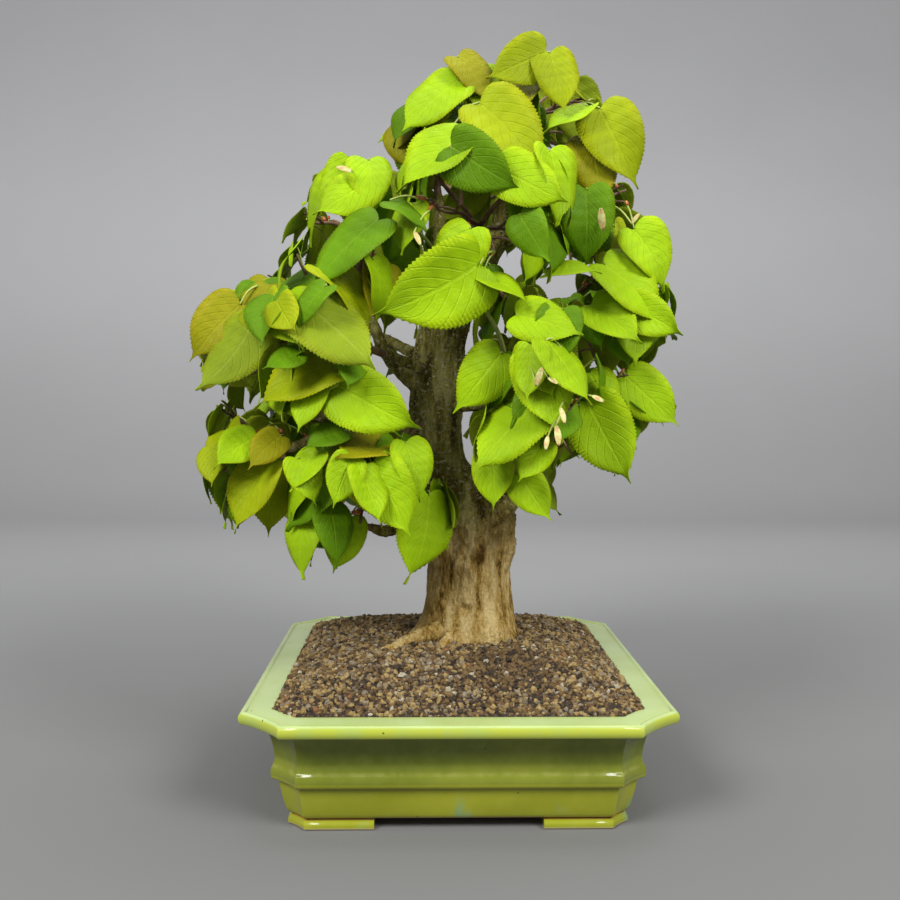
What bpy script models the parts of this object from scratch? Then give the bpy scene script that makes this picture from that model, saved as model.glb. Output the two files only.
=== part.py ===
# Small-leaved linden grown as a bonsai in a green glazed pot, as separate closed solids.
# Metres, +Z up, camera side -Y. The origin is at ground level, under the middle of the whole plant.

import math
import random

import bmesh
import bpy
from mathutils import Vector
from mathutils.bvhtree import BVHTree

# Clearance kept between any two solids.
GAP = 0.0003

# Pot. An inset is measured inwards from the outer edge of the rim.
POT_WIDTH = 0.280
POT_DEPTH = 0.308
POT_HEIGHT = 0.077
POT_X = 0.0150
POT_Y = 0.0
CORNER_CUT = 0.029
CORNER_DENT = 0.0022
RIM_WIDTH = 0.0207
FOOT_HEIGHT = 0.0066
FOOT_LENGTH = 0.0560
FOOT_WIDTH = 0.0220
FOOT_TOP_INSET = 0.0325
FOOT_INSET = 0.0297
FLOOR_HEIGHT = 0.0128
SMALLEST_CORNER = 0.0020
DENT_FROM = 0.28
INTO_FLOOR = FOOT_HEIGHT + 0.0020

# Outer side of a foot from the ground up, as pairs of inset and height.
FOOT_OUTSIDE = (
    (FOOT_INSET + 0.0014, 0.0),
    (FOOT_INSET, 0.0012),
    (FOOT_INSET + 0.0002, 0.0042),
    (FOOT_TOP_INSET + 0.0022, FOOT_HEIGHT - 0.0004),
    (FOOT_TOP_INSET + 0.0030, INTO_FLOOR),
)

# Outer side of the pot from its underside up to the rim, as pairs of inset and height.
POT_OUTSIDE = (
    (0.0345, FOOT_HEIGHT),
    (0.0305, 0.0080),
    (0.0288, 0.0110),
    (0.0264, 0.0190),
    (0.0246, 0.0280),
    (0.0246, 0.0295),
    (0.0212, 0.0302),
    (0.0196, 0.0320),
    (0.0190, 0.0350),
    (0.0194, 0.0385),
    (0.0212, 0.0410),
    (0.0218, 0.0450),
    (0.0206, 0.0530),
    (0.0182, 0.0610),
    (0.0150, 0.0660),
    (0.0128, 0.0681),
    (0.0030, 0.0686),
    (0.0006, 0.0702),
    (0.0000, 0.0728),
    (0.0008, 0.0758),
    (0.0026, POT_HEIGHT),
    (0.0044, 0.0766),
)

# Inner side from the rim down to the floor.
POT_INSIDE = (
    (RIM_WIDTH, 0.0764),
    (RIM_WIDTH + 0.0010, 0.0715),
    (0.0262, 0.0625),
    (0.0286, 0.0520),
    (0.0286, 0.0370),
    (0.0318, 0.0260),
    (0.0340, 0.0165),
    (0.0380, FLOOR_HEIGHT),
)

# Soil mound: its height over the rim on the seat under the trunk, and the seat's half axes.
MOUND_RISE = 0.0205
SEAT_X = 0.0110
SEAT_HALF_X = 0.0560
SEAT_HALF_Y = 0.0440
MOUND_RINGS = 5

# Trunk: height above the ground, middle in X and Y from the middle of the pot, half width, half depth.
TRUNK_FOOT = POT_HEIGHT + MOUND_RISE + GAP
TRUNK_STATIONS = (
    (TRUNK_FOOT, 0.0110, 0.0000, 0.0345, 0.0320),
    (0.1060, 0.0110, 0.0000, 0.0328, 0.0305),
    (0.1230, 0.0113, 0.0000, 0.0322, 0.0295),
    (0.1500, 0.0108, 0.0000, 0.0310, 0.0290),
    (0.1760, 0.0115, 0.0010, 0.0332, 0.0300),
    (0.1960, 0.0080, 0.0020, 0.0350, 0.0300),
    (0.2120, -0.0030, 0.0020, 0.0318, 0.0280),
    (0.2280, -0.0160, 0.0010, 0.0250, 0.0245),
    (0.2470, -0.0170, 0.0000, 0.0222, 0.0220),
    (0.2650, -0.0145, -0.0010, 0.0203, 0.0205),
    (0.2840, -0.0142, -0.0020, 0.0186, 0.0190),
    (0.3080, -0.0128, -0.0030, 0.0190, 0.0185),
    (0.3300, -0.0080, -0.0030, 0.0190, 0.0180),
    (0.3480, 0.0020, -0.0020, 0.0172, 0.0165),
    (0.3660, 0.0130, 0.0000, 0.0140, 0.0140),
    (0.3820, 0.0225, 0.0010, 0.0120, 0.0125),
    (0.3940, 0.0290, 0.0010, 0.0118, 0.0120),
    (0.4010, 0.0315, 0.0010, 0.0080, 0.0085),
)
TRUNK_SIDES = 14
TRUNK_STEPS = 1
# Root flare: direction in degrees, how far it stands out at the foot, and its half angle.
ROOT_FLARES = (
    (190.0, 0.0120, 26.0),
    (252.0, 0.0040, 18.0),
    (300.0, 0.0060, 34.0),
    (345.0, 0.0040, 22.0),
    (60.0, 0.0060, 26.0),
    (125.0, 0.0070, 26.0),
)
FLARE_HEIGHT = 0.0140
FLARE_FADE = 1.4

# A direction that no limb runs along, from which the first ring round a limb is turned.
NO_LIMB_RUNS_THIS_WAY = Vector((0.31, 0.17, 0.93))

# Boughs: where each leaves the trunk or its parent bough, the points it bends through and its two radii.
BOUGH_SIDES = 6
BOUGH_STEPS = 3
BOUGH_TAPER = 0.8
BOUGHS = {
    "bough_left": dict(
        foot=(-0.016, 0.000, 0.238),
        bends=((-0.066, -0.012, 0.258), (-0.104, -0.018, 0.262)),
        tip=(-0.128, -0.022, 0.276),
        radii=(0.0085, 0.0036),
    ),
    "bough_left_hanging": dict(
        foot=(-0.088, -0.0155, 0.2605),
        bends=((-0.104, -0.022, 0.246),),
        tip=(-0.122, -0.030, 0.238),
        radii=(0.0045, 0.0030),
        parent="bough_left",
    ),
    "bough_left_rising": dict(
        foot=(-0.014, -0.001, 0.272),
        bends=((-0.046, -0.006, 0.300), (-0.060, -0.008, 0.326)),
        tip=(-0.068, -0.008, 0.352),
        radii=(0.0068, 0.0036),
    ),
    "bough_left_front": dict(
        foot=(-0.013, -0.003, 0.292),
        bends=((-0.034, -0.026, 0.300),),
        tip=(-0.052, -0.042, 0.306),
        radii=(0.0055, 0.0032),
    ),
    "bough_low_left": dict(
        foot=(0.000, 0.002, 0.198),
        bends=((-0.036, 0.000, 0.182), (-0.052, -0.006, 0.176)),
        tip=(-0.062, -0.016, 0.180),
        radii=(0.0075, 0.0036),
    ),
    "bough_low_back_left": dict(
        foot=(-0.010, 0.004, 0.220),
        bends=((-0.038, 0.034, 0.222),),
        tip=(-0.062, 0.058, 0.224),
        radii=(0.0070, 0.0036),
    ),
    "bough_right": dict(
        foot=(0.024, 0.000, 0.186),
        bends=((0.050, -0.004, 0.214), (0.066, -0.008, 0.236)),
        tip=(0.080, -0.014, 0.246),
        radii=(0.0120, 0.0044),
    ),
    "bough_right_middle": dict(
        foot=(-0.012, -0.001, 0.298),
        bends=((0.022, -0.006, 0.304), (0.048, -0.010, 0.306)),
        tip=(0.066, -0.014, 0.310),
        radii=(0.0066, 0.0036),
    ),
    "bough_centre_front": dict(
        foot=(-0.014, 0.000, 0.268),
        bends=((0.012, -0.030, 0.270),),
        tip=(0.028, -0.052, 0.274),
        radii=(0.0056, 0.0032),
    ),
    "bough_upper_front": dict(
        foot=(0.000, -0.002, 0.344),
        bends=((0.004, -0.030, 0.358),),
        tip=(0.006, -0.048, 0.372),
        radii=(0.0055, 0.0032),
    ),
    "bough_upper_left": dict(
        foot=(-0.004, -0.002, 0.340),
        bends=((-0.014, -0.004, 0.376), (-0.013, -0.006, 0.402)),
        tip=(-0.014, -0.008, 0.424),
        radii=(0.0066, 0.0036),
    ),
    "bough_top": dict(
        foot=(0.030, 0.001, 0.392),
        bends=((0.033, 0.000, 0.416),),
        tip=(0.042, -0.002, 0.440),
        radii=(0.0070, 0.0038),
    ),
    "bough_upper_right": dict(
        foot=(0.026, 0.001, 0.386),
        bends=((0.050, -0.002, 0.396),),
        tip=(0.072, -0.002, 0.402),
        radii=(0.0056, 0.0034),
    ),
    "bough_back_top": dict(
        foot=(0.014, 0.001, 0.366),
        bends=((0.016, 0.030, 0.388),),
        tip=(0.018, 0.048, 0.408),
        radii=(0.0060, 0.0034),
    ),
    "bough_back_left": dict(
        foot=(-0.013, -0.002, 0.300),
        bends=((-0.036, 0.030, 0.312),),
        tip=(-0.062, 0.056, 0.326),
        radii=(0.0070, 0.0036),
    ),
    "bough_back_right": dict(
        foot=(-0.013, -0.002, 0.284),
        bends=((0.020, 0.030, 0.298),),
        tip=(0.054, 0.060, 0.316),
        radii=(0.0070, 0.0036),
    ),
    "bough_low_back_right": dict(
        foot=(-0.002, 0.002, 0.208),
        bends=((0.022, 0.036, 0.218),),
        tip=(0.044, 0.062, 0.228),
        radii=(0.0064, 0.0036),
    ),
}

# Masses of foliage: the bough that carries each, the middle and half sizes of its space, and a seed.
MASSES = {
    "foliage_apex": dict(
        bough="bough_top", middle=(0.058, -0.004, 0.486), size=(0.060, 0.068, 0.067), seed=11
    ),
    "foliage_upper_left": dict(
        bough="bough_upper_left", middle=(-0.002, -0.010, 0.452), size=(0.064, 0.072, 0.072), seed=12
    ),
    "foliage_upper_right": dict(
        bough="bough_upper_right", middle=(0.088, -0.008, 0.404), size=(0.058, 0.078, 0.070), seed=13
    ),
    "foliage_upper_front": dict(
        bough="bough_upper_front", middle=(0.014, -0.074, 0.390), size=(0.070, 0.066, 0.072), seed=14
    ),
    "foliage_left_rising": dict(
        bough="bough_left_rising", middle=(-0.070, -0.012, 0.400), size=(0.066, 0.076, 0.066), seed=15
    ),
    "foliage_left": dict(
        bough="bough_left", middle=(-0.136, -0.012, 0.314), size=(0.068, 0.080, 0.064), seed=16
    ),
    "foliage_left_front": dict(
        bough="bough_left_front", middle=(-0.086, -0.078, 0.312), size=(0.058, 0.064, 0.072), seed=17
    ),
    "foliage_left_hanging": dict(
        bough="bough_left_hanging", middle=(-0.134, -0.028, 0.232), size=(0.064, 0.076, 0.064), seed=18
    ),
    "foliage_low_left": dict(
        bough="bough_low_left", middle=(-0.062, -0.062, 0.220), size=(0.070, 0.070, 0.066), seed=19
    ),
    "foliage_right": dict(
        bough="bough_right_middle", middle=(0.104, -0.014, 0.328), size=(0.066, 0.078, 0.060), seed=21
    ),
    "foliage_low_right": dict(
        bough="bough_right", middle=(0.100, -0.020, 0.268), size=(0.062, 0.074, 0.050), seed=22
    ),
    "foliage_centre_front": dict(
        bough="bough_centre_front", middle=(0.052, -0.082, 0.270), size=(0.056, 0.064, 0.078), seed=23
    ),
    "foliage_back_top": dict(
        bough="bough_back_top", middle=(0.018, 0.066, 0.436), size=(0.080, 0.064, 0.074), seed=25
    ),
    "foliage_back_left": dict(
        bough="bough_back_left", middle=(-0.092, 0.082, 0.338), size=(0.086, 0.070, 0.074), seed=26
    ),
    "foliage_back_right": dict(
        bough="bough_back_right", middle=(0.082, 0.084, 0.338), size=(0.082, 0.068, 0.074), seed=27
    ),
    "foliage_low_back_left": dict(
        bough="bough_low_back_left", middle=(-0.090, 0.076, 0.236), size=(0.082, 0.074, 0.064), seed=28
    ),
    "foliage_low_back_right": dict(
        bough="bough_low_back_right", middle=(0.074, 0.082, 0.256), size=(0.076, 0.070, 0.054), seed=29
    ),
}

# The rule by which twigs and leaves grow in a mass.
TWIGS = 10
LEAVES = 18
STEM_RADIUS = 0.0022
STEM_STEPS = 4
STEM_TURN = 0.4
STEM_PAST_MIDDLE = 0.15
STEM_RISE = 0.0040
TWIG_RADIUS = 0.0016
TWIG_TIP_RADIUS = 0.0011
TWIG_STEPS = 2
TWIG_START = 0.62
TWIG_START_LEAN = 0.34
TWIG_REACH = 0.60
TWIG_REACH_UP = 0.32
TWIG_RISE = 0.0030
BACKWARD = -0.55
LEAF_LENGTH = (0.048, 0.066)
LEAF_SHORTEST = 0.68
LEAF_WIDTH_SHARE = 0.74
LEAF_THICKNESS = 0.0012
LEAF_ROOT = 0.0009
LEAF_WIDEST = 0.52
LEAF_ARCH = 0.08
LEAF_OUT = (0.2, 0.9)
LEAF_AHEAD = 0.3
LEAF_SIDE = (-0.9, 0.9)
LEAF_DROOP = (0.1, 1.3)
LEAF_FACES_UP = 0.6
LEAF_TURN = (-0.3, 0.3)
BARE_CORE = 0.2
LEAF_PLACES = (0.97, 0.74, 0.50, 0.28)
LEAF_TRIES = 30
SPACE_EDGE = 1.0
TIP_EDGE = 1.10
SPACE_MARGIN = 0.012
LIMB_CLEARANCE = 0.0008


def pot_place(x, y, z):
    """A point given from the middle of the pot, in the frame of the whole plant."""
    return Vector((POT_X + x, POT_Y + y, z))


# Meshes and objects


def new_object(name, mesh, visible=True):
    body = bpy.data.objects.new(name, mesh)
    bpy.context.scene.collection.objects.link(body)
    if not visible:
        body.hide_render = True
        body.display_type = "WIRE"
    return body


def mesh_from(name, work):
    mesh = bpy.data.meshes.new(name)
    bmesh.ops.recalc_face_normals(work, faces=work.faces)
    work.to_mesh(mesh)
    work.free()
    return mesh


def material(name, colour, roughness, metallic=0.0):
    made = bpy.data.materials.new(name)
    made.use_nodes = True
    shader = made.node_tree.nodes["Principled BSDF"]
    shader.inputs["Base Color"].default_value = (*colour, 1.0)
    shader.inputs["Roughness"].default_value = roughness
    shader.inputs["Metallic"].default_value = metallic
    made.diffuse_color = (*colour, 1.0)
    return made


def finish(body, finish_material, smooth_angle=None):
    body.data.materials.clear()
    body.data.materials.append(finish_material)
    if smooth_angle is not None:
        body.data.shade_smooth()
        body.data.set_sharp_from_angle(angle=math.radians(smooth_angle))


def loft(rings, wrap=False):
    """Closed body through rings with the same number of points, capped or joined end to start."""
    work = bmesh.new()
    loops = [[work.verts.new(point) for point in ring] for ring in rings]
    pairs = list(zip(loops, loops[1:]))
    if wrap:
        pairs.append((loops[-1], loops[0]))
    for lower, upper in pairs:
        for index, corner in enumerate(lower):
            following = (index + 1) % len(lower)
            work.faces.new((corner, lower[following], upper[following], upper[index]))
    if not wrap:
        work.faces.new(loops[0])
        work.faces.new(loops[-1])
    return work


def apply_modifiers(body):
    graph = bpy.context.evaluated_depsgraph_get()
    mesh = bpy.data.meshes.new_from_object(body.evaluated_get(graph))
    body.modifiers.clear()
    body.data = mesh


def cut(body, cutter, operation="DIFFERENCE"):
    boolean = body.modifiers.new(operation.lower(), "BOOLEAN")
    boolean.operation = operation
    boolean.solver = "EXACT"
    boolean.object = cutter
    apply_modifiers(body)


def keep_largest_shell(body):
    """Drops loose scraps and fills sealed hollows: only the shell round the most space stays."""
    work = bmesh.new()
    work.from_mesh(body.data)
    unseen = set(work.verts)
    shells = []
    while unseen:
        shell = {unseen.pop()}
        front = list(shell)
        while front:
            corner = front.pop()
            for edge in corner.link_edges:
                other = edge.other_vert(corner)
                if other in unseen:
                    unseen.remove(other)
                    shell.add(other)
                    front.append(other)
        shells.append(shell)

    def space(shell):
        faces = {face for corner in shell for face in corner.link_faces}
        return abs(sum(face.normal.dot(face.verts[0].co) * face.calc_area() for face in faces))

    largest = max(shells, key=space)
    loose = [corner for shell in shells if shell is not largest for corner in shell]
    bmesh.ops.delete(work, geom=loose, context="VERTS")
    work.to_mesh(body.data)
    work.free()


# Pot and soil


def pot_ring(inset, height, dent=CORNER_DENT):
    """Outline of the pot: four sides and four cut corners, each dented in or rounded out."""
    half_x = POT_WIDTH / 2 - inset
    half_y = POT_DEPTH / 2 - inset
    side = max(CORNER_CUT - (2 - math.sqrt(2)) * inset, SMALLEST_CORNER)
    dent = dent * side / CORNER_CUT
    ring = []
    for turn, (sign_x, sign_y) in enumerate(((1, -1), (1, 1), (-1, 1), (-1, -1))):
        on_front = Vector((sign_x * (half_x - side), sign_y * half_y, 0))
        on_side = Vector((sign_x * half_x, sign_y * (half_y - side), 0))
        first, last = (on_front, on_side) if turn % 2 == 0 else (on_side, on_front)
        inwards = Vector((-sign_x, -sign_y, 0)).normalized() * dent
        ring.append(first)
        ring.append(first.lerp(last, DENT_FROM) + inwards)
        ring.append(first.lerp(last, 1 - DENT_FROM) + inwards)
        ring.append(last)
    return [pot_place(point.x, point.y, height) for point in ring]


def box(name, half_x, half_y, bottom, top):
    corners = ((-half_x, -half_y), (half_x, -half_y), (half_x, half_y), (-half_x, half_y))
    rings = [[pot_place(x, y, height) for x, y in corners] for height in (bottom, top)]
    return new_object(name, mesh_from(name, loft(rings)), visible=False)


def make_pot():
    rings = [pot_ring(inset, height) for inset, height in POT_OUTSIDE]
    rings += [pot_ring(inset, height, -CORNER_DENT / 2) for inset, height in POT_INSIDE]
    pot = new_object("pot", mesh_from("pot", loft(rings)))
    inner = FOOT_INSET + FOOT_WIDTH
    foot_rings = [pot_ring(inner, 0.0)]
    foot_rings += [pot_ring(inset, height) for inset, height in FOOT_OUTSIDE]
    foot_rings.append(pot_ring(inner, INTO_FLOOR))
    feet = new_object("feet", mesh_from("feet", loft(foot_rings, wrap=True)), visible=False)
    between_x = POT_WIDTH / 2 - FOOT_INSET - FOOT_LENGTH
    between_y = POT_DEPTH / 2 - FOOT_INSET - FOOT_LENGTH
    for name, half_x, half_y in (
        ("front_opening", between_x, POT_DEPTH),
        ("side_opening", POT_WIDTH, between_y),
    ):
        cutter = box(name, half_x, half_y, -0.01, 0.02)
        cut(feet, cutter)
        bpy.data.objects.remove(cutter)
    cut(pot, feet, "UNION")
    bpy.data.objects.remove(feet)
    finish(pot, material("green_glaze", (0.36, 0.50, 0.10), 0.18), smooth_angle=35)
    return pot


def soil_outline(ring, share, height):
    """A ring between the pot's inner outline and the seat under the trunk."""
    middle = pot_place(SEAT_X, 0.0, height)
    shaped = []
    for point in ring:
        angle = math.atan2((point.y - middle.y) / SEAT_HALF_Y, (point.x - middle.x) / SEAT_HALF_X)
        seat = middle + Vector((SEAT_HALF_X * math.cos(angle), SEAT_HALF_Y * math.sin(angle), 0))
        level = Vector((point.x, point.y, height))
        shaped.append(level.lerp(seat, share))
    return shaped


def make_soil():
    inside = [(inset + GAP, height) for inset, height in reversed(POT_INSIDE)]
    inside[0] = (inside[0][0], FLOOR_HEIGHT + GAP)
    rings = [pot_ring(inset, height, -CORNER_DENT / 2) for inset, height in inside]
    edge = rings[-1]
    for step in range(1, MOUND_RINGS + 1):
        share = step / MOUND_RINGS
        rise = math.sin(share * math.pi / 2)
        height = edge[0].z + (POT_HEIGHT + MOUND_RISE - edge[0].z) * rise
        rings.append(soil_outline(edge, share, height))
    soil = new_object("soil", mesh_from("soil", loft(rings)))
    finish(soil, material("granular_soil", (0.16, 0.11, 0.075), 0.95))
    return soil


# Limbs


def smooth_between(rows, steps):
    """Rows of numbers joined by a smooth curve that passes through each of them."""
    curve = []
    for index in range(len(rows) - 1):
        before = rows[max(index - 1, 0)]
        start, end = rows[index], rows[index + 1]
        after = rows[min(index + 2, len(rows) - 1)]
        for step in range(steps):
            t = step / steps
            curve.append(
                tuple(
                    0.5 * (2 * b + (c - a) * t + (2 * a - 5 * b + 4 * c - d) * t**2)
                    + 0.5 * (3 * b - a - 3 * c + d) * t**3
                    for a, b, c, d in zip(before, start, end, after)
                )
            )
    curve.append(tuple(rows[-1]))
    return curve


def flare(angle, height):
    """How far the roots stand out of the trunk's foot in one direction."""
    fade = math.exp(-((height - TRUNK_FOOT) / FLARE_HEIGHT) ** FLARE_FADE)
    reach = 0.0
    for direction, amount, spread in ROOT_FLARES:
        turn = (math.degrees(angle) - direction + 180.0) % 360.0 - 180.0
        reach += amount * math.exp(-((turn / spread) ** 2))
    return reach * fade


def trunk_rings(extra=0.0):
    rings = []
    for height, x, y, half_x, half_y in smooth_between(TRUNK_STATIONS, TRUNK_STEPS):
        ring = []
        for side in range(TRUNK_SIDES):
            angle = 2 * math.pi * side / TRUNK_SIDES
            out = flare(angle, height) + extra
            ring.append(
                pot_place(
                    x + (half_x + out) * math.cos(angle),
                    y + (half_y + out) * math.sin(angle),
                    height,
                )
            )
        rings.append(ring)
    return rings


def tube_rings(points, radii, sides, turn=0.0):
    """Rings round a curve, carried along it without twisting."""
    rings = []
    across = None
    for index, (point, radius) in enumerate(zip(points, radii)):
        ahead = points[min(index + 1, len(points) - 1)] - points[max(index - 1, 0)]
        ahead.normalize()
        if across is None:
            across = ahead.cross(NO_LIMB_RUNS_THIS_WAY).normalized()
        across = (across - ahead * across.dot(ahead)).normalized()
        beside = ahead.cross(across)
        ring = []
        for side in range(sides):
            angle = turn + 2 * math.pi * side / sides
            ring.append(point + radius * (across * math.cos(angle) + beside * math.sin(angle)))
        rings.append(ring)
    return rings


def bough_line(plan):
    rows = [pot_place(*point) for point in (plan["foot"], *plan["bends"], plan["tip"])]
    return [Vector(point) for point in smooth_between(rows, BOUGH_STEPS)]


def bough_rings(plan, extra=0.0):
    line = bough_line(plan)
    thick, thin = plan["radii"]
    last = len(line) - 1
    radii = [thick + (thin - thick) * (index / last) ** BOUGH_TAPER for index in range(last + 1)]
    return tube_rings(line, [radius + extra for radius in radii], BOUGH_SIDES)


def make_trunk():
    trunk = new_object("trunk", mesh_from("trunk", loft(trunk_rings())))
    finish(trunk, material("linden_bark", (0.24, 0.17, 0.10), 0.85), smooth_angle=50)
    return trunk


def make_shell(limb, rings):
    """A hidden copy of a limb, grown by the gap, that is cut from the boughs it carries."""
    name = limb + "_shell"
    return new_object(name, mesh_from(name, loft(rings)), visible=False)


def make_boughs():
    bark = material("bough_bark", (0.17, 0.125, 0.085), 0.8)
    shells = {"trunk": make_shell("trunk", trunk_rings(GAP))}
    for name, plan in BOUGHS.items():
        bough = new_object(name, mesh_from(name, loft(bough_rings(plan))))
        cut(bough, shells["trunk"])
        if "parent" in plan:
            cut(bough, shells[plan["parent"]])
        keep_largest_shell(bough)
        finish(bough, bark, smooth_angle=50)
        shells[name] = make_shell(name, bough_rings(plan, GAP))
    for shell in shells.values():
        bpy.data.objects.remove(shell)


# Foliage


def depth_in(plan, point):
    """0 at the middle of a mass's space and 1 at its edge."""
    middle = pot_place(*plan["middle"])
    return math.sqrt(sum(((p - m) / s) ** 2 for p, m, s in zip(point, middle, plan["size"])))


def keeps_to_space(name, points, edge=SPACE_EDGE):
    """True where every point lies in the mass's own space, clear of each neighbour's."""
    for point in points:
        own = depth_in(MASSES[name], point)
        if own > edge:
            return False
        for other, plan in MASSES.items():
            if other != name and depth_in(plan, point) < own + SPACE_MARGIN:
                return False
    return True


def leaf_shape(root, tip, out, length):
    """The corners and faces of one leaf: a thin kite, widest past its stalk, a little arched."""
    along = (tip - root).normalized()
    across = along.cross(out).normalized()
    up = across.cross(along)
    widest = root.lerp(tip, LEAF_WIDEST)
    half = 0.5 * LEAF_WIDTH_SHARE * length * across
    arch = up * LEAF_ARCH * length
    thick = up * LEAF_THICKNESS / 2
    corners = [
        root + up * LEAF_ROOT / 2,
        root - up * LEAF_ROOT / 2,
        widest + half,
        tip,
        widest - half,
        widest + arch + thick,
        widest + arch - thick,
    ]
    upper_side = [(0, 4, 5), (4, 3, 5), (3, 2, 5), (2, 0, 5)]
    underside = [(1, 6, 4), (4, 6, 3), (3, 6, 2), (2, 6, 1)]
    stalk_end = [(0, 2, 1), (0, 1, 4)]
    return corners, upper_side + underside + stalk_end


def leaf_candidate(plan, root, ahead, share, chance):
    """A leaf that leaves its twig outwards and hangs with its tip down, shorter the later it is tried."""
    middle = pot_place(*plan["middle"])
    out = Vector((r - m) / s for r, m, s in zip(root, middle, plan["size"])).normalized()
    side = out.cross(Vector((0, 0, 1))).normalized()
    length = chance.uniform(*LEAF_LENGTH) * (1 - (1 - LEAF_SHORTEST) * share)
    direction = out * chance.uniform(*LEAF_OUT) + ahead * LEAF_AHEAD + side * chance.uniform(*LEAF_SIDE)
    direction.z -= chance.uniform(*LEAF_DROOP)
    direction.normalize()
    facing = out + Vector((0, 0, LEAF_FACES_UP)) + Vector(chance.uniform(*LEAF_TURN) for axis in range(3))
    return leaf_shape(root, root + direction * length, facing, length)


def faceted(corners, faces):
    work = bmesh.new()
    placed = [work.verts.new(corner) for corner in corners]
    for face in faces:
        work.faces.new([placed[corner] for corner in face])
    return work


def along_line(line, share):
    """The place and heading at a share of the way along a line of points."""
    position = share * (len(line) - 1)
    index = min(int(position), len(line) - 2)
    place = line[index].lerp(line[index + 1], position - index)
    return place, (line[index + 1] - line[index]).normalized()


def limb_trees():
    """Search trees of the trunk and boughs, grown by the clearance that foliage keeps from them."""
    trees = {}
    for name, rings in [("trunk", trunk_rings(LIMB_CLEARANCE))] + [
        (name, bough_rings(plan, LIMB_CLEARANCE)) for name, plan in BOUGHS.items()
    ]:
        work = loft(rings)
        trees[name] = BVHTree.FromBMesh(work)
        work.free()
    return trees


def even_directions(count, chance):
    """Directions spread evenly over a sphere, turned as a whole by chance."""
    turn = chance.uniform(0, 2 * math.pi)
    golden = math.pi * (3 - math.sqrt(5))
    directions = []
    for number in range(count):
        level = 1 - 2 * (number + 0.5) / count
        round_it = math.sqrt(1 - level * level)
        angle = turn + golden * number
        directions.append(Vector((round_it * math.cos(angle), round_it * math.sin(angle), level)))
    return directions


def twig_line(start, aim, rise, steps=TWIG_STEPS):
    """A twig from start to aim that bends upwards on the way."""
    line = []
    for step in range(steps + 1):
        share = step / steps
        point = start.lerp(aim, share)
        point.z += rise * 4 * share * (1 - share)
        line.append(point)
    return line


def twig_piece(line, thick, thin, turn):
    radii = [thick + (thin - thick) * index / (len(line) - 1) for index in range(len(line))]
    rings = tube_rings(line, radii, 3, turn)
    return loft(rings)


def grow_stem(plan):
    """The line of a mass's stem: it leaves the bough's tip in line with it and runs past the middle."""
    bough = bough_line(BOUGHS[plan["bough"]])
    heading = (bough[-1] - bough[-2]).normalized()
    foot = bough[-1] + heading * GAP
    middle = pot_place(*plan["middle"])
    stem = twig_line(foot, middle + (middle - foot) * STEM_PAST_MIDDLE, STEM_RISE, steps=STEM_STEPS)
    stem[1] = foot + heading * (stem[1] - foot).length
    return stem


def grow_twigs(name, stem, limbs, grown, chance):
    """Twigs that leave the stem for all sides of the mass's space. One that would meet a limb is skipped."""
    plan = MASSES[name]
    middle = pot_place(*plan["middle"])
    forward = (stem[-1] - stem[0]).normalized()
    lines, pieces, trees = [], [], []
    for direction in even_directions(TWIGS, chance):
        lean = direction.dot(forward)
        if lean < BACKWARD:
            continue
        start = along_line(stem, TWIG_START + TWIG_START_LEAN * lean)[0]
        reach = TWIG_REACH + TWIG_REACH_UP * max(direction.z, 0.0)
        aim = middle + Vector(d * s for d, s in zip(direction, plan["size"])) * reach
        line = twig_line(start, aim, TWIG_RISE)
        work = twig_piece(line, TWIG_RADIUS, TWIG_TIP_RADIUS, chance.uniform(0, 2))
        tree = BVHTree.FromBMesh(work)
        meets = any(tree.overlap(other) for other in (*limbs.values(), *grown))
        if meets or not keeps_to_space(name, line[1:]):
            work.free()
            continue
        lines.append(line)
        pieces.append(work)
        trees.append(tree)
    return lines, pieces, trees


def grow_leaf(name, root, ahead, others, chance):
    """The first try at a leaf that keeps to the mass's space and touches no other, or nothing."""
    for attempt in range(LEAF_TRIES):
        corners, faces = leaf_candidate(MASSES[name], root, ahead, attempt / LEAF_TRIES, chance)
        if not keeps_to_space(name, (corners[2], corners[4], corners[5])):
            continue
        if not keeps_to_space(name, corners[3:4], TIP_EDGE):
            continue
        tree = BVHTree.FromPolygons(corners, faces)
        if not any(tree.overlap(other) for other in others):
            return faceted(corners, faces), tree
    return None


def grow_mass(name, limbs, grown):
    """Stem, twigs and leaves of one mass, as closed pieces still to be joined."""
    plan = MASSES[name]
    chance = random.Random(plan["seed"])
    stem = grow_stem(plan)
    lines, pieces, twig_trees = grow_twigs(name, stem, limbs, grown, chance)
    pieces.insert(0, twig_piece(stem, STEM_RADIUS, TWIG_RADIUS, STEM_TURN))
    leaf_trees = []
    for place in LEAF_PLACES:
        for line in (stem, *lines):
            root, ahead = along_line(line, place)
            if depth_in(plan, root) < BARE_CORE or len(leaf_trees) == LEAVES:
                continue
            leaf = grow_leaf(name, root, ahead, (*limbs.values(), *grown, *leaf_trees), chance)
            if leaf:
                pieces.append(leaf[0])
                leaf_trees.append(leaf[1])
    return pieces, leaf_trees, twig_trees


def join_mass(name, pieces):
    """One Boolean union on a collection fuses the pieces of a mass."""
    group = bpy.data.collections.new(name + "_pieces")
    bpy.context.scene.collection.children.link(group)
    mass = new_object(name, mesh_from(name, pieces[0]))
    for number, work in enumerate(pieces[1:]):
        part_name = f"{name}_piece_{number}"
        body = bpy.data.objects.new(part_name, mesh_from(part_name, work))
        group.objects.link(body)
    boolean = mass.modifiers.new("join", "BOOLEAN")
    boolean.operation = "UNION"
    boolean.solver = "EXACT"
    boolean.operand_type = "COLLECTION"
    boolean.collection = group
    apply_modifiers(mass)
    for body in list(group.objects):
        bpy.data.objects.remove(body)
    bpy.data.collections.remove(group)
    keep_largest_shell(mass)
    return mass


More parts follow.
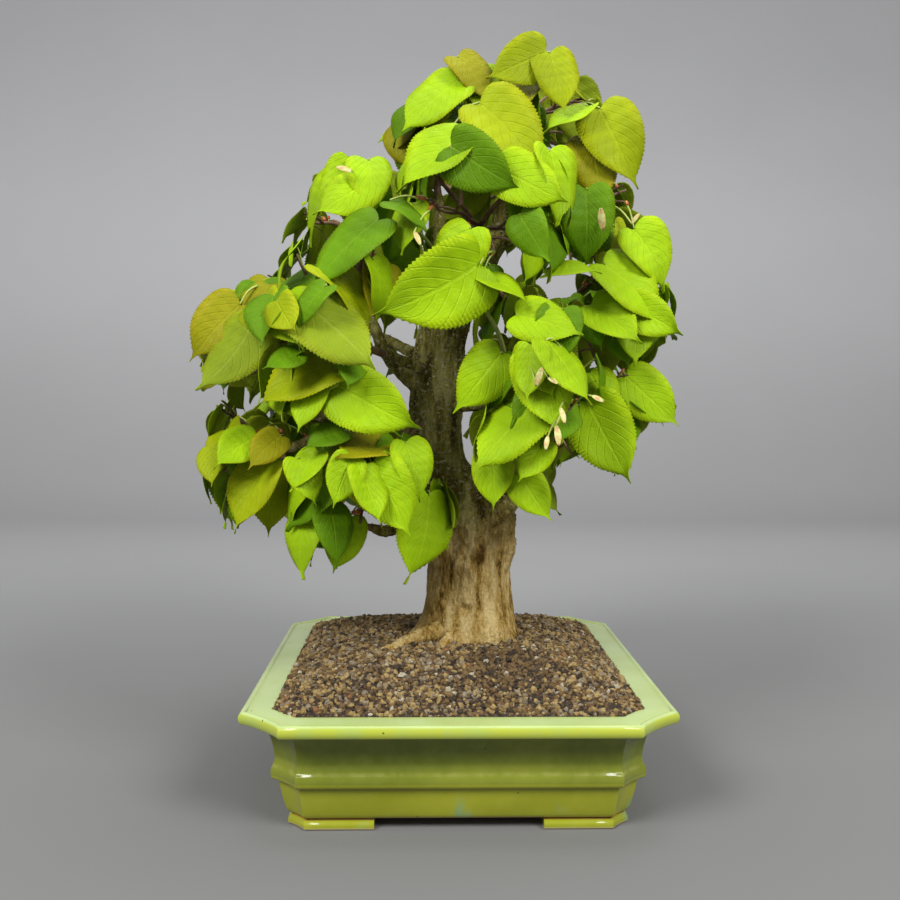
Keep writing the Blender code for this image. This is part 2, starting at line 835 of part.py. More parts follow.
def make_foliage():
    green = material("linden_leaf", (0.27, 0.50, 0.035), 0.45)
    limbs = limb_trees()
    grown = []
    for name in MASSES:
        pieces, leaves, twigs = grow_mass(name, limbs, grown)
        grown += leaves + twigs
        mass = join_mass(name, pieces)
        finish(mass, green)
        print(f"{name}: {len(leaves)} leaves, {len(mass.data.loop_triangles)} triangles")


def main():
    for body in list(bpy.data.objects):
        bpy.data.objects.remove(body)
    make_pot()
    make_soil()
    make_trunk()
    make_boughs()
    make_foliage()


main()
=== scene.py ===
import math
import random

import bmesh
import bpy
import numpy as np
from mathutils import Matrix, Vector, noise
from mathutils.bvhtree import BVHTree


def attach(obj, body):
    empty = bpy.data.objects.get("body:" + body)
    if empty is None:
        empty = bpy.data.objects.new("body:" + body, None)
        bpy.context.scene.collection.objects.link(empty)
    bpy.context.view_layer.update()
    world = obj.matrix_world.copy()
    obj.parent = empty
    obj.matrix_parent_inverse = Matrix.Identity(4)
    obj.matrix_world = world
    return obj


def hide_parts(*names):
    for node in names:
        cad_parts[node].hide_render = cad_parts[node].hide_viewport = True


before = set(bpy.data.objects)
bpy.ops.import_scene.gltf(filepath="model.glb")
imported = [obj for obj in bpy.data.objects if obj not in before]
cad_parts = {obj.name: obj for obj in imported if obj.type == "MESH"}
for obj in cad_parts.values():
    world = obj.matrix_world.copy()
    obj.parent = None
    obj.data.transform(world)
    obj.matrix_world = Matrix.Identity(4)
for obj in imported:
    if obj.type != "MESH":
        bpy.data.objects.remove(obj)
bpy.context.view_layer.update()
potMiddleX = 0.015  # the pot stands this far to the right of the frame's middle
print("frame loaded")


# Shader nodes

class Wire:
    # wraps a socket, so that shader maths reads as plain expressions

    def __init__(self, tree, socket):
        self.tree = tree
        self.socket = socket

    def maths(self, operation, *values):
        node = self.tree.nodes.new("ShaderNodeMath")
        node.operation = operation
        for plug, value in zip(node.inputs, values):
            connect(self.tree, plug, value)
        return Wire(self.tree, node.outputs[0])

    def __add__(self, other):
        return self.maths("ADD", self, other)

    def __sub__(self, other):
        return self.maths("SUBTRACT", self, other)

    def __rsub__(self, other):
        return self.maths("SUBTRACT", other, self)

    def __mul__(self, other):
        return self.maths("MULTIPLY", self, other)

    __radd__ = __add__
    __rmul__ = __mul__

    def __abs__(self):
        return self.maths("ABSOLUTE", self)

    def folded(self, span):
        return self.maths("PINGPONG", self, span)

    def atLeast(self, other):
        return self.maths("MAXIMUM", self, other)

    def above(self, low, high):
        # 0 under low, 1 over high, with a soft step between
        node = self.tree.nodes.new("ShaderNodeMapRange")
        node.interpolation_type = "SMOOTHSTEP"
        for plug, value in zip(node.inputs, (self, low, high, 0.0, 1.0)):
            connect(self.tree, plug, value)
        return Wire(self.tree, node.outputs[0])


def connect(tree, plug, value):
    if isinstance(value, Wire):
        tree.links.new(value.socket, plug)
    elif hasattr(plug.default_value, "__len__") and hasattr(value, "__len__"):
        plug.default_value = (*value, 1.0)[:len(plug.default_value)]
    else:
        plug.default_value = value


class Finish:
    # one procedural material

    def __init__(self, name, **constants):
        self.material = bpy.data.materials.new(name)
        self.material.use_nodes = True
        self.tree = self.material.node_tree
        self.shader = self.tree.nodes["Principled BSDF"]
        for socket, value in constants.items():
            connect(self.tree, self.shader.inputs[socket.replace("_", " ")], value)

    def add(self, kind, settings=None, inputs=None, output=0):
        node = self.tree.nodes.new("ShaderNode" + kind)
        for name, value in (settings or {}).items():
            if name == "stops":
                fillRamp(node.color_ramp, value)
            else:
                setattr(node, name, value)
        for name, value in (inputs or {}).items():
            connect(self.tree, node.inputs[name], value)
        return Wire(self.tree, node.outputs[output])

    def place(self, stretch=(1, 1, 1)):
        at = self.add("TexCoord", output="Object")
        return self.add("Mapping", inputs={"Vector": at, "Scale": stretch})

    def noise(self, scale, detail=3.0, roughness=0.55, at=None):
        at = at or self.place()
        inputs = {"Vector": at, "Scale": scale, "Detail": detail, "Roughness": roughness}
        return self.add("TexNoise", inputs=inputs)

    def cells(self, scale, output="Distance", feature="F1"):
        return self.add("TexVoronoi", {"feature": feature}, {"Vector": self.place(), "Scale": scale}, output)

    def mix(self, share, first, second):
        return self.add("Mix", {"data_type": "RGBA"}, {0: share, 6: first, 7: second}, output=2)

    def ramp(self, value, *stops):
        return self.add("ValToRGB", {"stops": stops}, {0: value})

    def along(self, axis):
        # the place on one axis of the piece, in metres
        return self.add("SeparateXYZ", inputs={0: self.place()}, output="XYZ".index(axis))

    def paint(self, socket, wire):
        self.tree.links.new(wire.socket, self.shader.inputs[socket])

    def bump(self, wire, distance, strength=0.6):
        bumped = self.add("Bump", inputs={"Strength": strength, "Distance": distance, "Height": wire})
        self.paint("Normal", bumped)

    def twoTones(self, scale, detail, edges, first, second, raised=None):
        # two colours in soft patches, raised as far as given
        patches = self.noise(scale, detail)
        self.paint("Base Color", self.mix(patches.above(*edges), first, second))
        if raised:
            self.bump(patches, raised)


def fillRamp(ramp, stops):
    while len(ramp.elements) < len(stops):
        ramp.elements.new(1.0)
    for element, (position, colour) in zip(ramp.elements, stops):
        element.position = position
        element.color = (*colour, 1.0)


# Meshes

def smoothLine(rows, steps):
    # rows of numbers joined by a smooth curve that passes through each of them
    curve = []
    for index in range(len(rows) - 1):
        a = np.array(rows[max(index - 1, 0)], float)
        b = np.array(rows[index], float)
        c = np.array(rows[index + 1], float)
        d = np.array(rows[min(index + 2, len(rows) - 1)], float)
        for t in np.arange(steps) / steps:
            curve.append(0.5 * (2 * b + (c - a) * t + (2 * a - 5 * b + 4 * c - d) * t * t
                                + (3 * b - a - 3 * c + d) * t ** 3))
    curve.append(np.array(rows[-1], float))
    return curve


def inMetres(value):
    # tables of places and sizes are in millimetres
    if isinstance(value, tuple):
        return tuple(inMetres(part) for part in value)
    return round(value / 1000, 7)


def inScene(name, data):
    made = bpy.data.objects.new(name, data)
    bpy.context.scene.collection.objects.link(made)
    return made


def showPiece(name, mesh, finishes, replaced=(), smooth=True):
    piece = inScene(name, mesh)
    for finish in finishes:
        mesh.materials.append(finish.material)
    mesh.polygons.foreach_set("use_smooth", [smooth] * len(mesh.polygons))
    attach(piece, "root")
    if replaced:
        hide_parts(*replaced)
    print(name, len(mesh.polygons), "faces")
    return piece


def meshOf(name, work):
    mesh = bpy.data.meshes.new(name)
    work.to_mesh(mesh)
    work.free()
    return mesh


def gridOf(across, along):
    # corners as (u, v), each from 0 to 1, and faces of a sheet made by the grid operator
    work = bmesh.new()
    bmesh.ops.create_grid(work, x_segments=across, y_segments=along, size=0.5)
    places = np.array([corner.co for corner in work.verts])[:, :2] + 0.5
    faces = [[corner.index for corner in face.verts] for face in work.faces]
    work.free()
    return places, faces


def tubeOf(work, across, along, shape):
    # a closed tube: a grid whose two long sides meet, placed corner by corner by shape(turn, share)
    made = bmesh.ops.create_grid(work, x_segments=across, y_segments=along, size=0.5)["verts"]
    for corner in made:
        corner.co = shape(2 * math.pi * (corner.co.x + 0.5), corner.co.y + 0.5)
    bmesh.ops.remove_doubles(work, verts=made, dist=1e-6)
    bmesh.ops.holes_fill(work, edges=[edge for edge in work.edges if edge.is_boundary], sides=0)


def joinedMesh(name, shapes, faces):
    # many copies of one shape, each with corners of its own, as one mesh
    faces = np.array(faces)
    index = faces[None] + len(shapes[0]) * np.arange(len(shapes))[:, None, None]
    mesh = bpy.data.meshes.new(name)
    mesh.from_pydata(np.concatenate(shapes).tolist(), [], index.reshape(-1, faces.shape[1]).tolist())
    return mesh


def thicken(piece, thickness):
    solid = piece.modifiers.new("thickness", "SOLIDIFY")
    solid.thickness = thickness
    return solid


# Camera, floor and light

camera = {
    "place": Vector((-0.0085, -0.7406, 0.2741)),
    "lens": 39.53,
    "turn": 1.5,  # degrees to the right
    "down": 2.91,
    "roll": 0.34,
    "sensor": 36,
    "pictureMiddle": 450,  # of a picture 900 points wide and high
}
camera["focus"] = camera["lens"] / camera["sensor"] * 2 * camera["pictureMiddle"]


def makeCamera():
    turn, down, roll = (math.radians(camera[name]) for name in ("turn", "down", "roll"))
    ahead = Vector((math.sin(turn) * math.cos(down), math.cos(turn) * math.cos(down), -math.sin(down)))
    right = Vector((math.cos(turn), -math.sin(turn), 0))
    up = right.cross(ahead)
    leaning = right * math.cos(roll) + up * math.sin(roll)
    upright = up * math.cos(roll) - right * math.sin(roll)
    data = bpy.data.cameras.new("camera")
    data.lens = camera["lens"]
    data.sensor_width = camera["sensor"]
    data.clip_start = 0.01
    eye = inScene("camera", data)
    eye.matrix_world = Matrix((leaning, upright, -ahead)).transposed().to_4x4()
    eye.location = camera["place"]
    bpy.context.scene.camera = eye


studio = {
    # painted light and shade: the paper is darker near the front, lighter far back and lighter still up the
    # wall, as the light falls on it
    "floor": (0.185, 0.185, 0.182),
    "litFarFloor": (0.46, 0.46, 0.465),
    "litWall": (0.74, 0.74, 0.75),
    "air": (0.66, 0.66, 0.67),
    "airStrength": 0.45,
    "floorSize": 5.0,
    "wallStart": 1.6,
    "wallRise": 1.2,
    "farBlend": (-0.2, 1.3),  # how far back the floor grows lighter
    "wallBlend": (0.0, 0.9),  # and at what height it becomes the wall
    "mottle": 0.07,
    # place, aimed at, size, watts
    "lamps": {
        "leftBox": ((-1.1, -1.3, 1.5), (0.0, 0.0, 0.22), 0.9, 39),
        "rightBox": ((1.0, -1.2, 1.3), (0.0, 0.0, 0.2), 0.8, 27),
        "topBox": ((0.1, 0.1, 1.7), (0.0, 0.0, 0.2), 1.2, 11),
    },
}


def makeStudio():
    work = bmesh.new()
    bmesh.ops.create_grid(work, x_segments=2, y_segments=60, size=studio["floorSize"])
    for corner in work.verts:
        corner.co.z = studio["wallRise"] * max(corner.co.y - studio["wallStart"], 0) ** 2
    floor = inScene("floor", meshOf("floor", work))
    floor.data.shade_smooth()
    paper = Finish("paper", Roughness=0.85)
    # painted light and shade: the colour grows lighter towards the back and up the wall
    shade = paper.mix(paper.along("Y").above(*studio["farBlend"]), studio["floor"], studio["litFarFloor"])
    shade = paper.mix(paper.along("Z").above(*studio["wallBlend"]), shade, studio["litWall"])
    paper.paint("Base Color", paper.mix(paper.noise(3.0) * studio["mottle"], shade, (0.0, 0.0, 0.0)))
    floor.data.materials.append(paper.material)

    world = bpy.data.worlds.new("air")
    world.use_nodes = True
    world.node_tree.nodes["Background"].inputs[0].default_value = (*studio["air"], 1)
    world.node_tree.nodes["Background"].inputs[1].default_value = studio["airStrength"]
    bpy.context.scene.world = world
    for name, (place, aim, size, watts) in studio["lamps"].items():
        data = bpy.data.lights.new(name, "AREA")
        data.shape = "DISK"
        data.size = size
        data.energy = watts
        lamp = inScene(name, data)
        lamp.location = place
        lamp.rotation_euler = (Vector(aim) - Vector(place)).to_track_quat("-Z", "Y").to_euler()
    bpy.context.scene.view_settings.view_transform = "Standard"


makeCamera()
makeStudio()
print("camera and light placed")


# Pot

pot = {
    "width": 0.28,
    "depth": 0.308,
    "cornerCut": 0.029,
    "leastCut": 0.002,
    "cornerDent": 0.0022,
    "dentShape": 0.7,
    "mouth": (0.02, 0.07),  # past this inset and over this height the corners bulge instead
    "mouthBulge": -0.5,
    "cornerSteps": 10,
    "sideSteps": 16,
    "profileSteps": 3,
    # inset from the rim's outer edge and height, from the underside up the outside and down the inside,
    # in millimetres
    "profile": (
        (50, 6.6), (36, 6.6), (31.8, 7.4), (30, 8.6), (28.6, 11.2), (26.4, 19), (24.8, 26.2),
        (24.3, 28), (24.7, 29.2), (23.8, 30), (21.2, 30.5), (19.7, 32.2), (19.1, 35), (19.5, 38.2),
        (21, 40.8), (21.7, 45), (20.6, 53), (18.2, 61), (15, 66), (12.6, 68.2), (3, 68.6), (0.8, 70),
        (0, 72.8), (0.7, 75.5), (2.4, 76.9), (4.2, 76.7), (5.2, 76), (6.4, 76.1), (13, 76.4),
        (19.6, 76.5), (20.8, 75.7), (21.4, 71.5), (26.2, 62.5), (29, 50), (33, 26),
    ),
    "footProfile": (
        (31.8, 0), (31.1, 0), (30, 0.8), (29.7, 1.6), (29.9, 4), (31.8, 6), (34, 7), (36, 7.8),
    ),
    "footLength": 0.056,
    "footWidth": 0.022,
    "footInset": 0.0297,
    "footTop": 0.0078,
    "creaseAngle": 50,
}

# Heights on the pot between which one tone of the glaze, a painted shade or a painted highlight gives way to
# the next.
glazeLevels = {
    "ring": (0.0325, 0.0345),
    # where the painted shade under the lip's overhang begins
    "shadeUnderLip": (0.0435, 0.0475),
    "lip": (0.0675, 0.0695),
    # where the painted highlight on the rim's top begins
    "rim": (0.0752, 0.0764),
    "drips": (0.01, 0.026),
    # the painted highlight along the band's upper edge
    "bandHighlight": (0.0383, 0.0392),
    "bandHighlightEnd": (0.0402, 0.0415),
    "bare": (0.0058, 0.0064),
    "bareEnd": (0.0076, 0.0094),
    "footEdge": (0.0006, 0.0022),
}


def potOutline(inset, height, dented=True):
    # the pot's plan: four sides and four cut corners, each a little hollow
    halfX = pot["width"] / 2 - inset
    halfY = pot["depth"] / 2 - inset
    cut = max(pot["cornerCut"] - (2 - math.sqrt(2)) * inset, pot["leastCut"])
    dent = pot["cornerDent"] * cut / pot["cornerCut"] * (1 if dented else pot["mouthBulge"])
    corners = ((1, -1), (1, 1), (-1, 1), (-1, -1))
    cuts = []
    for number, (signX, signY) in enumerate(corners):
        front = Vector((signX * (halfX - cut), signY * halfY, 0))
        side = Vector((signX * halfX, signY * (halfY - cut), 0))
        cuts.append((side, front) if number % 2 else (front, side))
    outline = []
    for number, (first, last) in enumerate(cuts):
        inwards = Vector((-corners[number][0], -corners[number][1], 0)).normalized()
        for step in range(pot["cornerSteps"] + 1):
            share = step / pot["cornerSteps"]
            deep = dent * math.sin(math.pi * share) ** pot["dentShape"]
            outline.append(first.lerp(last, share) + inwards * deep)
        for step in range(1, pot["sideSteps"]):
            outline.append(last.lerp(cuts[(number + 1) % 4][0], step / pot["sideSteps"]))
    return [Vector((potMiddleX + point.x, point.y, height)) for point in outline]


def growRing(work, ring, places):
    # extrudes a ring of corners once and moves the new corners to their places
    edges = [work.edges.get(pair) for pair in zip(ring, ring[1:] + ring[:1])]
    made = bmesh.ops.extrude_edge_only(work, edges=edges)["geom"]
    old = set(ring)
    above = {}
    for corner in made:
        if isinstance(corner, bmesh.types.BMVert):
            for edge in corner.link_edges:
                if edge.other_vert(corner) in old:
                    above[edge.other_vert(corner)] = corner
    grown = [above[corner] for corner in ring]
    for corner, place in zip(grown, places):
        corner.co = place
    return grown


def turnedPot(profile):
    # a profile of insets and heights carried round the pot's plan: the mesh, its first ring and its last
    work = bmesh.new()
    rows = smoothLine(inMetres(profile), pot["profileSteps"])
    places = potOutline(*rows[0])
    first = [work.verts.new(place) for place in places]
    for pair in zip(first, first[1:] + first[:1]):
        work.edges.new(pair)
    ring = first
    mouthInset, mouthHeight = pot["mouth"]
    for inset, height in rows[1:]:
        dented = inset < mouthInset or height < mouthHeight
        ring = growRing(work, ring, potOutline(inset, height, dented))
    return work, first, ring


def makeFeet(work):
    # an L-shaped foot under each corner, cut from one moulding that runs all round
    feet, start, inner = turnedPot(pot["footProfile"])
    for height in (pot["footTop"], 0.0):
        inner = growRing(feet, inner, potOutline(pot["footWidth"] + pot["footInset"], height))
    bmesh.ops.bridge_loops(feet, edges=[edge for edge in feet.edges if edge.is_boundary])
    reachX = pot["width"] / 2 - pot["footInset"] - pot["footLength"]
    reachY = pot["depth"] / 2 - pot["footInset"] - pot["footLength"]
    mesh = meshOf("feet", feet)
    for signX in (-1, 1):
        for signY in (-1, 1):
            quarter = bmesh.new()
            quarter.from_mesh(mesh)
            # keeps only what lies past both ends of the foot, as two arms that share the corner
            for reach, way in ((reachX, Vector((signX, 0, 0))), (reachY, Vector((0, signY, 0)))):
                whole = list(quarter.verts) + list(quarter.edges) + list(quarter.faces)
                plane = Vector((potMiddleX, 0, 0)) + way * reach
                bmesh.ops.bisect_plane(quarter, geom=whole, plane_co=plane, plane_no=way, clear_inner=True)
            bmesh.ops.holes_fill(quarter, edges=[e for e in quarter.edges if e.is_boundary], sides=0)
            bmesh.ops.recalc_face_normals(quarter, faces=quarter.faces)
            foot = meshOf("foot", quarter)
            work.from_mesh(foot)
            bpy.data.meshes.remove(foot)
    bpy.data.meshes.remove(mesh)


def glazeFinish():
    glaze = Finish("greenGlaze", Coat_Weight=0.35, Coat_Roughness=0.07, Specular_IOR_Level=0.3)
    height = glaze.along("Z")
    levels = {name: height.above(*edges) for name, edges in glazeLevels.items()}
    cloud = glaze.noise(14.0, 4.0)
    soft = cloud.above(0.35, 0.7)
    fine = glaze.noise(120.0, 4.0)
    runs = glaze.noise(60.0, 3.0, at=glaze.place((1.0, 1.0, 0.12)))
    low = glaze.mix(soft, (0.27, 0.29, 0.012), (0.345, 0.36, 0.02))
    # painted shade: the body under the lip's overhang, much darker than below
    shadeUnderLip = glaze.mix(soft, (0.105, 0.135, 0.006), (0.15, 0.18, 0.01))
    ring = glaze.mix(soft, (0.15, 0.185, 0.012), (0.215, 0.245, 0.02))
    low = glaze.mix(levels["ring"], low, ring)
    low = glaze.mix(levels["shadeUnderLip"], low, shadeUnderLip)
    # painted highlight: the rim's top paler and whiter, as lit from above
    high = glaze.mix(soft, (0.42, 0.53, 0.18), (0.49, 0.61, 0.25))
    lip = glaze.mix(runs.above(0.4, 0.65), (0.43, 0.49, 0.05), (0.38, 0.48, 0.09))
    body = glaze.mix(levels["lip"], low, lip)
    body = glaze.mix(levels["rim"], body, high)
    # bluish runs low down, a painted highlight along the band's upper edge, and bare clay along the foot
    drips = runs.above(0.56, 0.66) * (1 - levels["drips"]) * cloud.above(0.4, 0.55)
    body = glaze.mix(drips * 0.6, body, (0.16, 0.35, 0.2))
    # painted highlight along the band's upper edge, broken up by fine noise
    bandHighlight = levels["bandHighlight"] * (1 - levels["bandHighlightEnd"]) * fine.above(0.3, 0.7)
    body = glaze.mix(bandHighlight * 0.25, body, (0.42, 0.4, 0.12))
    bare = (1 - levels["bareEnd"]) * levels["bare"]
    body = glaze.mix(bare * 0.9, body, (0.33, 0.15, 0.045))
    footEdge = 1 - levels["footEdge"]
    body = glaze.mix(footEdge * 0.9, body, (0.56, 0.44, 0.27))
    # pinholes in one cell out of five
    picked = glaze.add("SeparateColor", inputs={0: glaze.cells(95.0, output="Color")}).above(0.8, 0.81)
    pinholes = (1 - glaze.cells(95.0).above(0.045, 0.075)) * picked
    body = glaze.mix(pinholes * 0.85, body, (0.03, 0.028, 0.012))
    glaze.paint("Base Color", glaze.mix(fine.above(0.3, 0.8) * 0.1, body, (0.43, 0.45, 0.1)))
    glaze.paint("Roughness", 0.16 + 0.14 * fine + bare * 0.4 + footEdge * 0.4)
    glaze.bump(glaze.noise(26.0, 2.0) * 0.6 + fine * 0.1 - pinholes * 0.5, 0.0008, 0.5)
    return glaze


def makePot():
    work, bottom, top = turnedPot(pot["profile"])
    work.faces.new(bottom)
    work.faces.new(top)
    bmesh.ops.recalc_face_normals(work, faces=work.faces)
    makeFeet(work)
    piece = showPiece("pot_glazed", meshOf("pot_glazed", work), [glazeFinish()], ("pot",))
    piece.data.set_sharp_from_angle(angle=math.radians(pot["creaseAngle"]))


makePot()
print("pot made")


# Soil

soil = {
    "seed": 5,
    "grains": 13500,
    "sizes": (0.0012, 0.0024),  # half sizes
    "shapes": 14,
    "lumps": (0.72, 1.15),  # how far a grain's corners lie from its middle
    "inset": 0.0198,  # from the pot's rim to the grains
    "cornerCut": 0.0165,
    "kinds": {
        # share of the grains, darker and lighter colour
        "grain_brown": (0.37, (0.105, 0.058, 0.019), (0.183, 0.117, 0.045)),
        "grain_tan": (0.28, (0.257, 0.168, 0.058), (0.359, 0.257, 0.101)),
        "grain_grey": (0.15, (0.156, 0.121, 0.074), (0.265, 0.215, 0.144)),
        "grain_dark": (0.13, (0.023, 0.016, 0.008), (0.066, 0.045, 0.023)),
        "grain_pale": (0.03, (0.328, 0.281, 0.179), (0.452, 0.406, 0.296)),
        "grain_rust": (0.008, (0.218, 0.086, 0.027), (0.265, 0.125, 0.047)),
    },
    "damp": (Vector((0.038, -0.075, 0)), 0.042),  # middle and reach of the damp patch in front
}


def stoneShapes(chance):
    # coarse balls, each pushed out of round
    shapes = []
    for number in range(soil["shapes"]):
        work = bmesh.new()
        bmesh.ops.create_icosphere(work, subdivisions=1, radius=1.0)
        for corner in work.verts:
            corner.co *= chance.uniform(*soil["lumps"])
        shapes.append(np.array([corner.co for corner in work.verts]))
        faces = [[corner.index for corner in face.verts] for face in work.faces]
        work.free()
    return shapes, faces


def placeGrains():
    chance = random.Random(soil["seed"])
    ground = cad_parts["soil"].data
    corners = [corner.co for corner in ground.vertices]
    ground = BVHTree.FromPolygons(corners, [list(face.vertices) for face in ground.polygons])
    shapes, faces = stoneShapes(chance)
    placed = {kind: [] for kind in soil["kinds"]}
    kinds = list(soil["kinds"])
    shares = [soil["kinds"][kind][0] for kind in kinds]
    damp, dampReach = soil["damp"]
    halfX, halfY = pot["width"] / 2 - soil["inset"], pot["depth"] / 2 - soil["inset"]
    for number in range(soil["grains"]):
        x, y = chance.uniform(-halfX, halfX), chance.uniform(-halfY, halfY)
        size = chance.uniform(*soil["sizes"]) * chance.choice((0.7, 1.0, 1.0, 1.25))
        kind = chance.choices(kinds, shares)[0]
        turn = Matrix.Rotation(chance.uniform(0, 6.28), 3, Vector(chance.gauss(0, 1) for axis in range(3)))
        inCorner = abs(x) + abs(y) > halfX + halfY - soil["cornerCut"]
        if abs(x) + size > halfX or abs(y) + size > halfY or inCorner:
            continue
        hit = ground.ray_cast(Vector((potMiddleX + x, y, 0.2)), Vector((0, 0, -1)))[0]
        if hit is None:
            continue
        if kind in ("grain_tan", "grain_grey"):
            if (Vector((x, y, 0)) - damp).length < dampReach * chance.uniform(0.5, 1.1):
                kind = "grain_brown" if chance.random() < 0.7 else "grain_dark"
        stretch = [chance.uniform(0.8, 1.25), chance.uniform(0.75, 1.1), chance.uniform(0.6, 0.95)]
        stone = chance.choice(shapes) * stretch * size
        lift = Vector((0, 0, size * chance.uniform(-0.35, 0.45)))
        placed[kind].append(stone @ np.array(turn).T + np.array(hit + lift))
    return placed, faces


def makeGrains():
    placed, faces = placeGrains()
    for kind, (share, dark, light) in soil["kinds"].items():
        stone = Finish(kind, Roughness=0.92)
        fine = stone.noise(900.0, 3.0)
        shade = stone.mix(stone.noise(190.0, 2.0).above(0.35, 0.65), dark, light)
        pits = tuple(0.5 * part for part in dark)
        stone.paint("Base Color", stone.mix(fine.above(0.45, 0.75) * 0.5, shade, pits))
        stone.bump(fine, 0.0006, 0.7)
        showPiece(kind, joinedMesh(kind, placed[kind], faces), [stone], smooth=False)


def soilFinish():
    earth = Finish("earth", Roughness=0.95)
    lump = earth.cells(330.0)
    earth.paint("Base Color", earth.mix(lump.above(0.1, 0.6), (0.115, 0.07, 0.038), (0.03, 0.018, 0.01)))
    earth.bump(1 - lump, 0.002, 1.0)
    return earth


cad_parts["soil"].data.materials.clear()
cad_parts["soil"].data.materials.append(soilFinish().material)
makeGrains()
print("soil made")


# Trunk and boughs. Their lines repeat the solids' own, measured from the middle of the pot.

trunk = {
    "stations": (
        # height, middle in x and y, half width, half depth, in millimetres
        (95, 11, 0, 35, 32.5), (106, 11, 0, 32.8, 30.5), (123, 11.3, 0, 32.2, 29.5),
        (150, 10.8, 0, 31, 29), (176, 11.5, 1, 33.2, 30), (196, 8, 2, 35, 30), (212, -3, 2, 31.8, 28),
        (228, -16, 1, 25, 24.5), (247, -17, 0, 22.2, 22), (265, -14.5, -1, 20.3, 20.5),
        (284, -14.2, -2, 18.6, 19), (308, -12.8, -3, 19, 18.5), (330, -8, -3, 19, 18),
        (348, 2, -2, 17.2, 16.5), (366, 13, 0, 14, 14), (382, 22.5, 1, 12, 12.5), (394, 29, 1, 11.8, 12),
        (401, 31.5, 1, 8, 8.5),
    ),
    # root flare: direction in degrees, how far out, half angle
    "flares": (
        (190, 0.012, 26), (252, 0.004, 18), (300, 0.006, 34),
        (345, 0.004, 22), (60, 0.006, 26), (125, 0.007, 26),
    ),
    "flareFoot": 0.0978,
    "flareHeight": 0.014,
    # bumps: height, direction in degrees, how far out, half height, half angle
    "bumps": (
        (0.108, 288, 0.006, 0.011, 30), (0.121, 262, -0.003, 0.004, 14), (0.162, 279, 0.0048, 0.0065, 11),
        (0.176, 270, 0.003, 0.014, 26), (0.163, 350, 0.0036, 0.008, 16), (0.145, 236, -0.0025, 0.016, 15),
        (0.24, 255, 0.0022, 0.007, 20), (0.292, 300, 0.002, 0.008, 24), (0.383, 280, 0.0034, 0.008, 30),
        (0.205, 200, 0.003, 0.009, 24), (0.15, 90, 0.004, 0.014, 24), (0.23, 110, 0.0026, 0.01, 26),
    ),
    "around": 150,
    "along": 270,
    # how rough the bark is, and how much rougher within reach of the knot
    "rough": (0.9, 1.8),
    "knot": (0.176, 0.028),
    "hint": (34, 12),  # radius below and above in millimetres, for what a leaf would touch
}

boughs = {
    # points from the trunk to the tip, then the radius at either end, in millimetres
    "bough_left": (((-16, 0, 238), (-66, -12, 258), (-104, -18, 262), (-128, -22, 276)), 8.5, 3.6),
    "bough_left_hanging": (((-88, -15.5, 260.5), (-104, -22, 246), (-122, -30, 238)), 4.5, 3),
    "bough_left_rising": (((-14, -1, 272), (-46, -6, 300), (-60, -8, 326), (-68, -8, 352)), 6.8, 3.6),
    "bough_left_front": (((-13, -3, 292), (-34, -26, 300), (-52, -42, 306)), 5.5, 3.2),
    "bough_low_left": (((0, 2, 198), (-36, 0, 182), (-52, -6, 176), (-62, -16, 180)), 7.5, 3.6),
    "bough_low_back_left": (((-10, 4, 220), (-38, 34, 222), (-62, 58, 224)), 7, 3.6),
    "bough_right": (((24, 0, 186), (50, -4, 214), (66, -8, 236), (80, -14, 246)), 12, 4.4),
    "bough_right_middle": (((-12, -1, 298), (22, -6, 304), (48, -10, 306), (66, -14, 310)), 6.6, 3.6),
    "bough_centre_front": (((-14, 0, 268), (12, -30, 270), (28, -52, 274)), 5.6, 3.2),
    "bough_upper_front": (((0, -2, 344), (4, -30, 358), (6, -48, 372)), 5.5, 3.2),
    "bough_upper_left": (((-4, -2, 340), (-14, -4, 376), (-13, -6, 402), (-14, -8, 424)), 6.6, 3.6),
    "bough_top": (((30, 1, 392), (33, 0, 416), (42, -2, 440)), 7, 3.8),
    "bough_upper_right": (((26, 1, 386), (50, -2, 396), (72, -2, 402)), 5.6, 3.4),
    "bough_back_top": (((14, 1, 366), (16, 30, 388), (18, 48, 408)), 6, 3.4),
    "bough_back_left": (((-13, -2, 300), (-36, 30, 312), (-62, 56, 326)), 7, 3.6),
    "bough_back_right": (((-13, -2, 284), (20, 30, 298), (54, 60, 316)), 7, 3.6),
    "bough_low_back_right": (((-2, 2, 208), (22, 36, 218), (44, 62, 228)), 6.4, 3.6),
}

roots = {
    # one that lies on the soil in front on the left, a small one beside it, and the cut stub on the right
    "surface": (((-12, -20, 104), (-28, -30, 101), (-46, -40, 95), (-64, -50, 88)), 8.5, 3),
    "front": (((0, -22, 106), (-6, -34, 100), (-14, -44, 94)), 7, 3),
    "stub": (((20, -14, 178), (30, -24, 190), (40, -32, 200)), 8, 6.2),
}


def limbCurve(points, steps):
    return [Vector(row) + Vector((potMiddleX, 0, 0)) for row in smoothLine(inMetres(points), steps)]


def limbFrames(line):
    # two directions across a line at each of its points, carried along it without twisting
    frames = []
    across = None
    for index in range(len(line)):
        ahead = (line[min(index + 1, len(line) - 1)] - line[max(index - 1, 0)]).normalized()
        if across is None:
            across = ahead.cross(Vector((0.31, 0.17, 0.93))).normalized()
        across = (across - ahead * across.dot(ahead)).normalized()
        frames.append((across, ahead.cross(across)))
    return frames


def barkRelief(point, rough):
    # long fissures over broad swellings, in metres
    broad = noise.noise(point * 34.0)
    seams = noise.noise(Vector((point.x * 420, point.y * 420, point.z * 75)))
    fine = noise.noise(point * 640.0)
    furrow = max(0.0, 0.3 - abs(seams)) / 0.3
    return rough * (0.0016 * broad - 0.0011 * furrow + 0.0005 * seams + 0.0004 * fine)


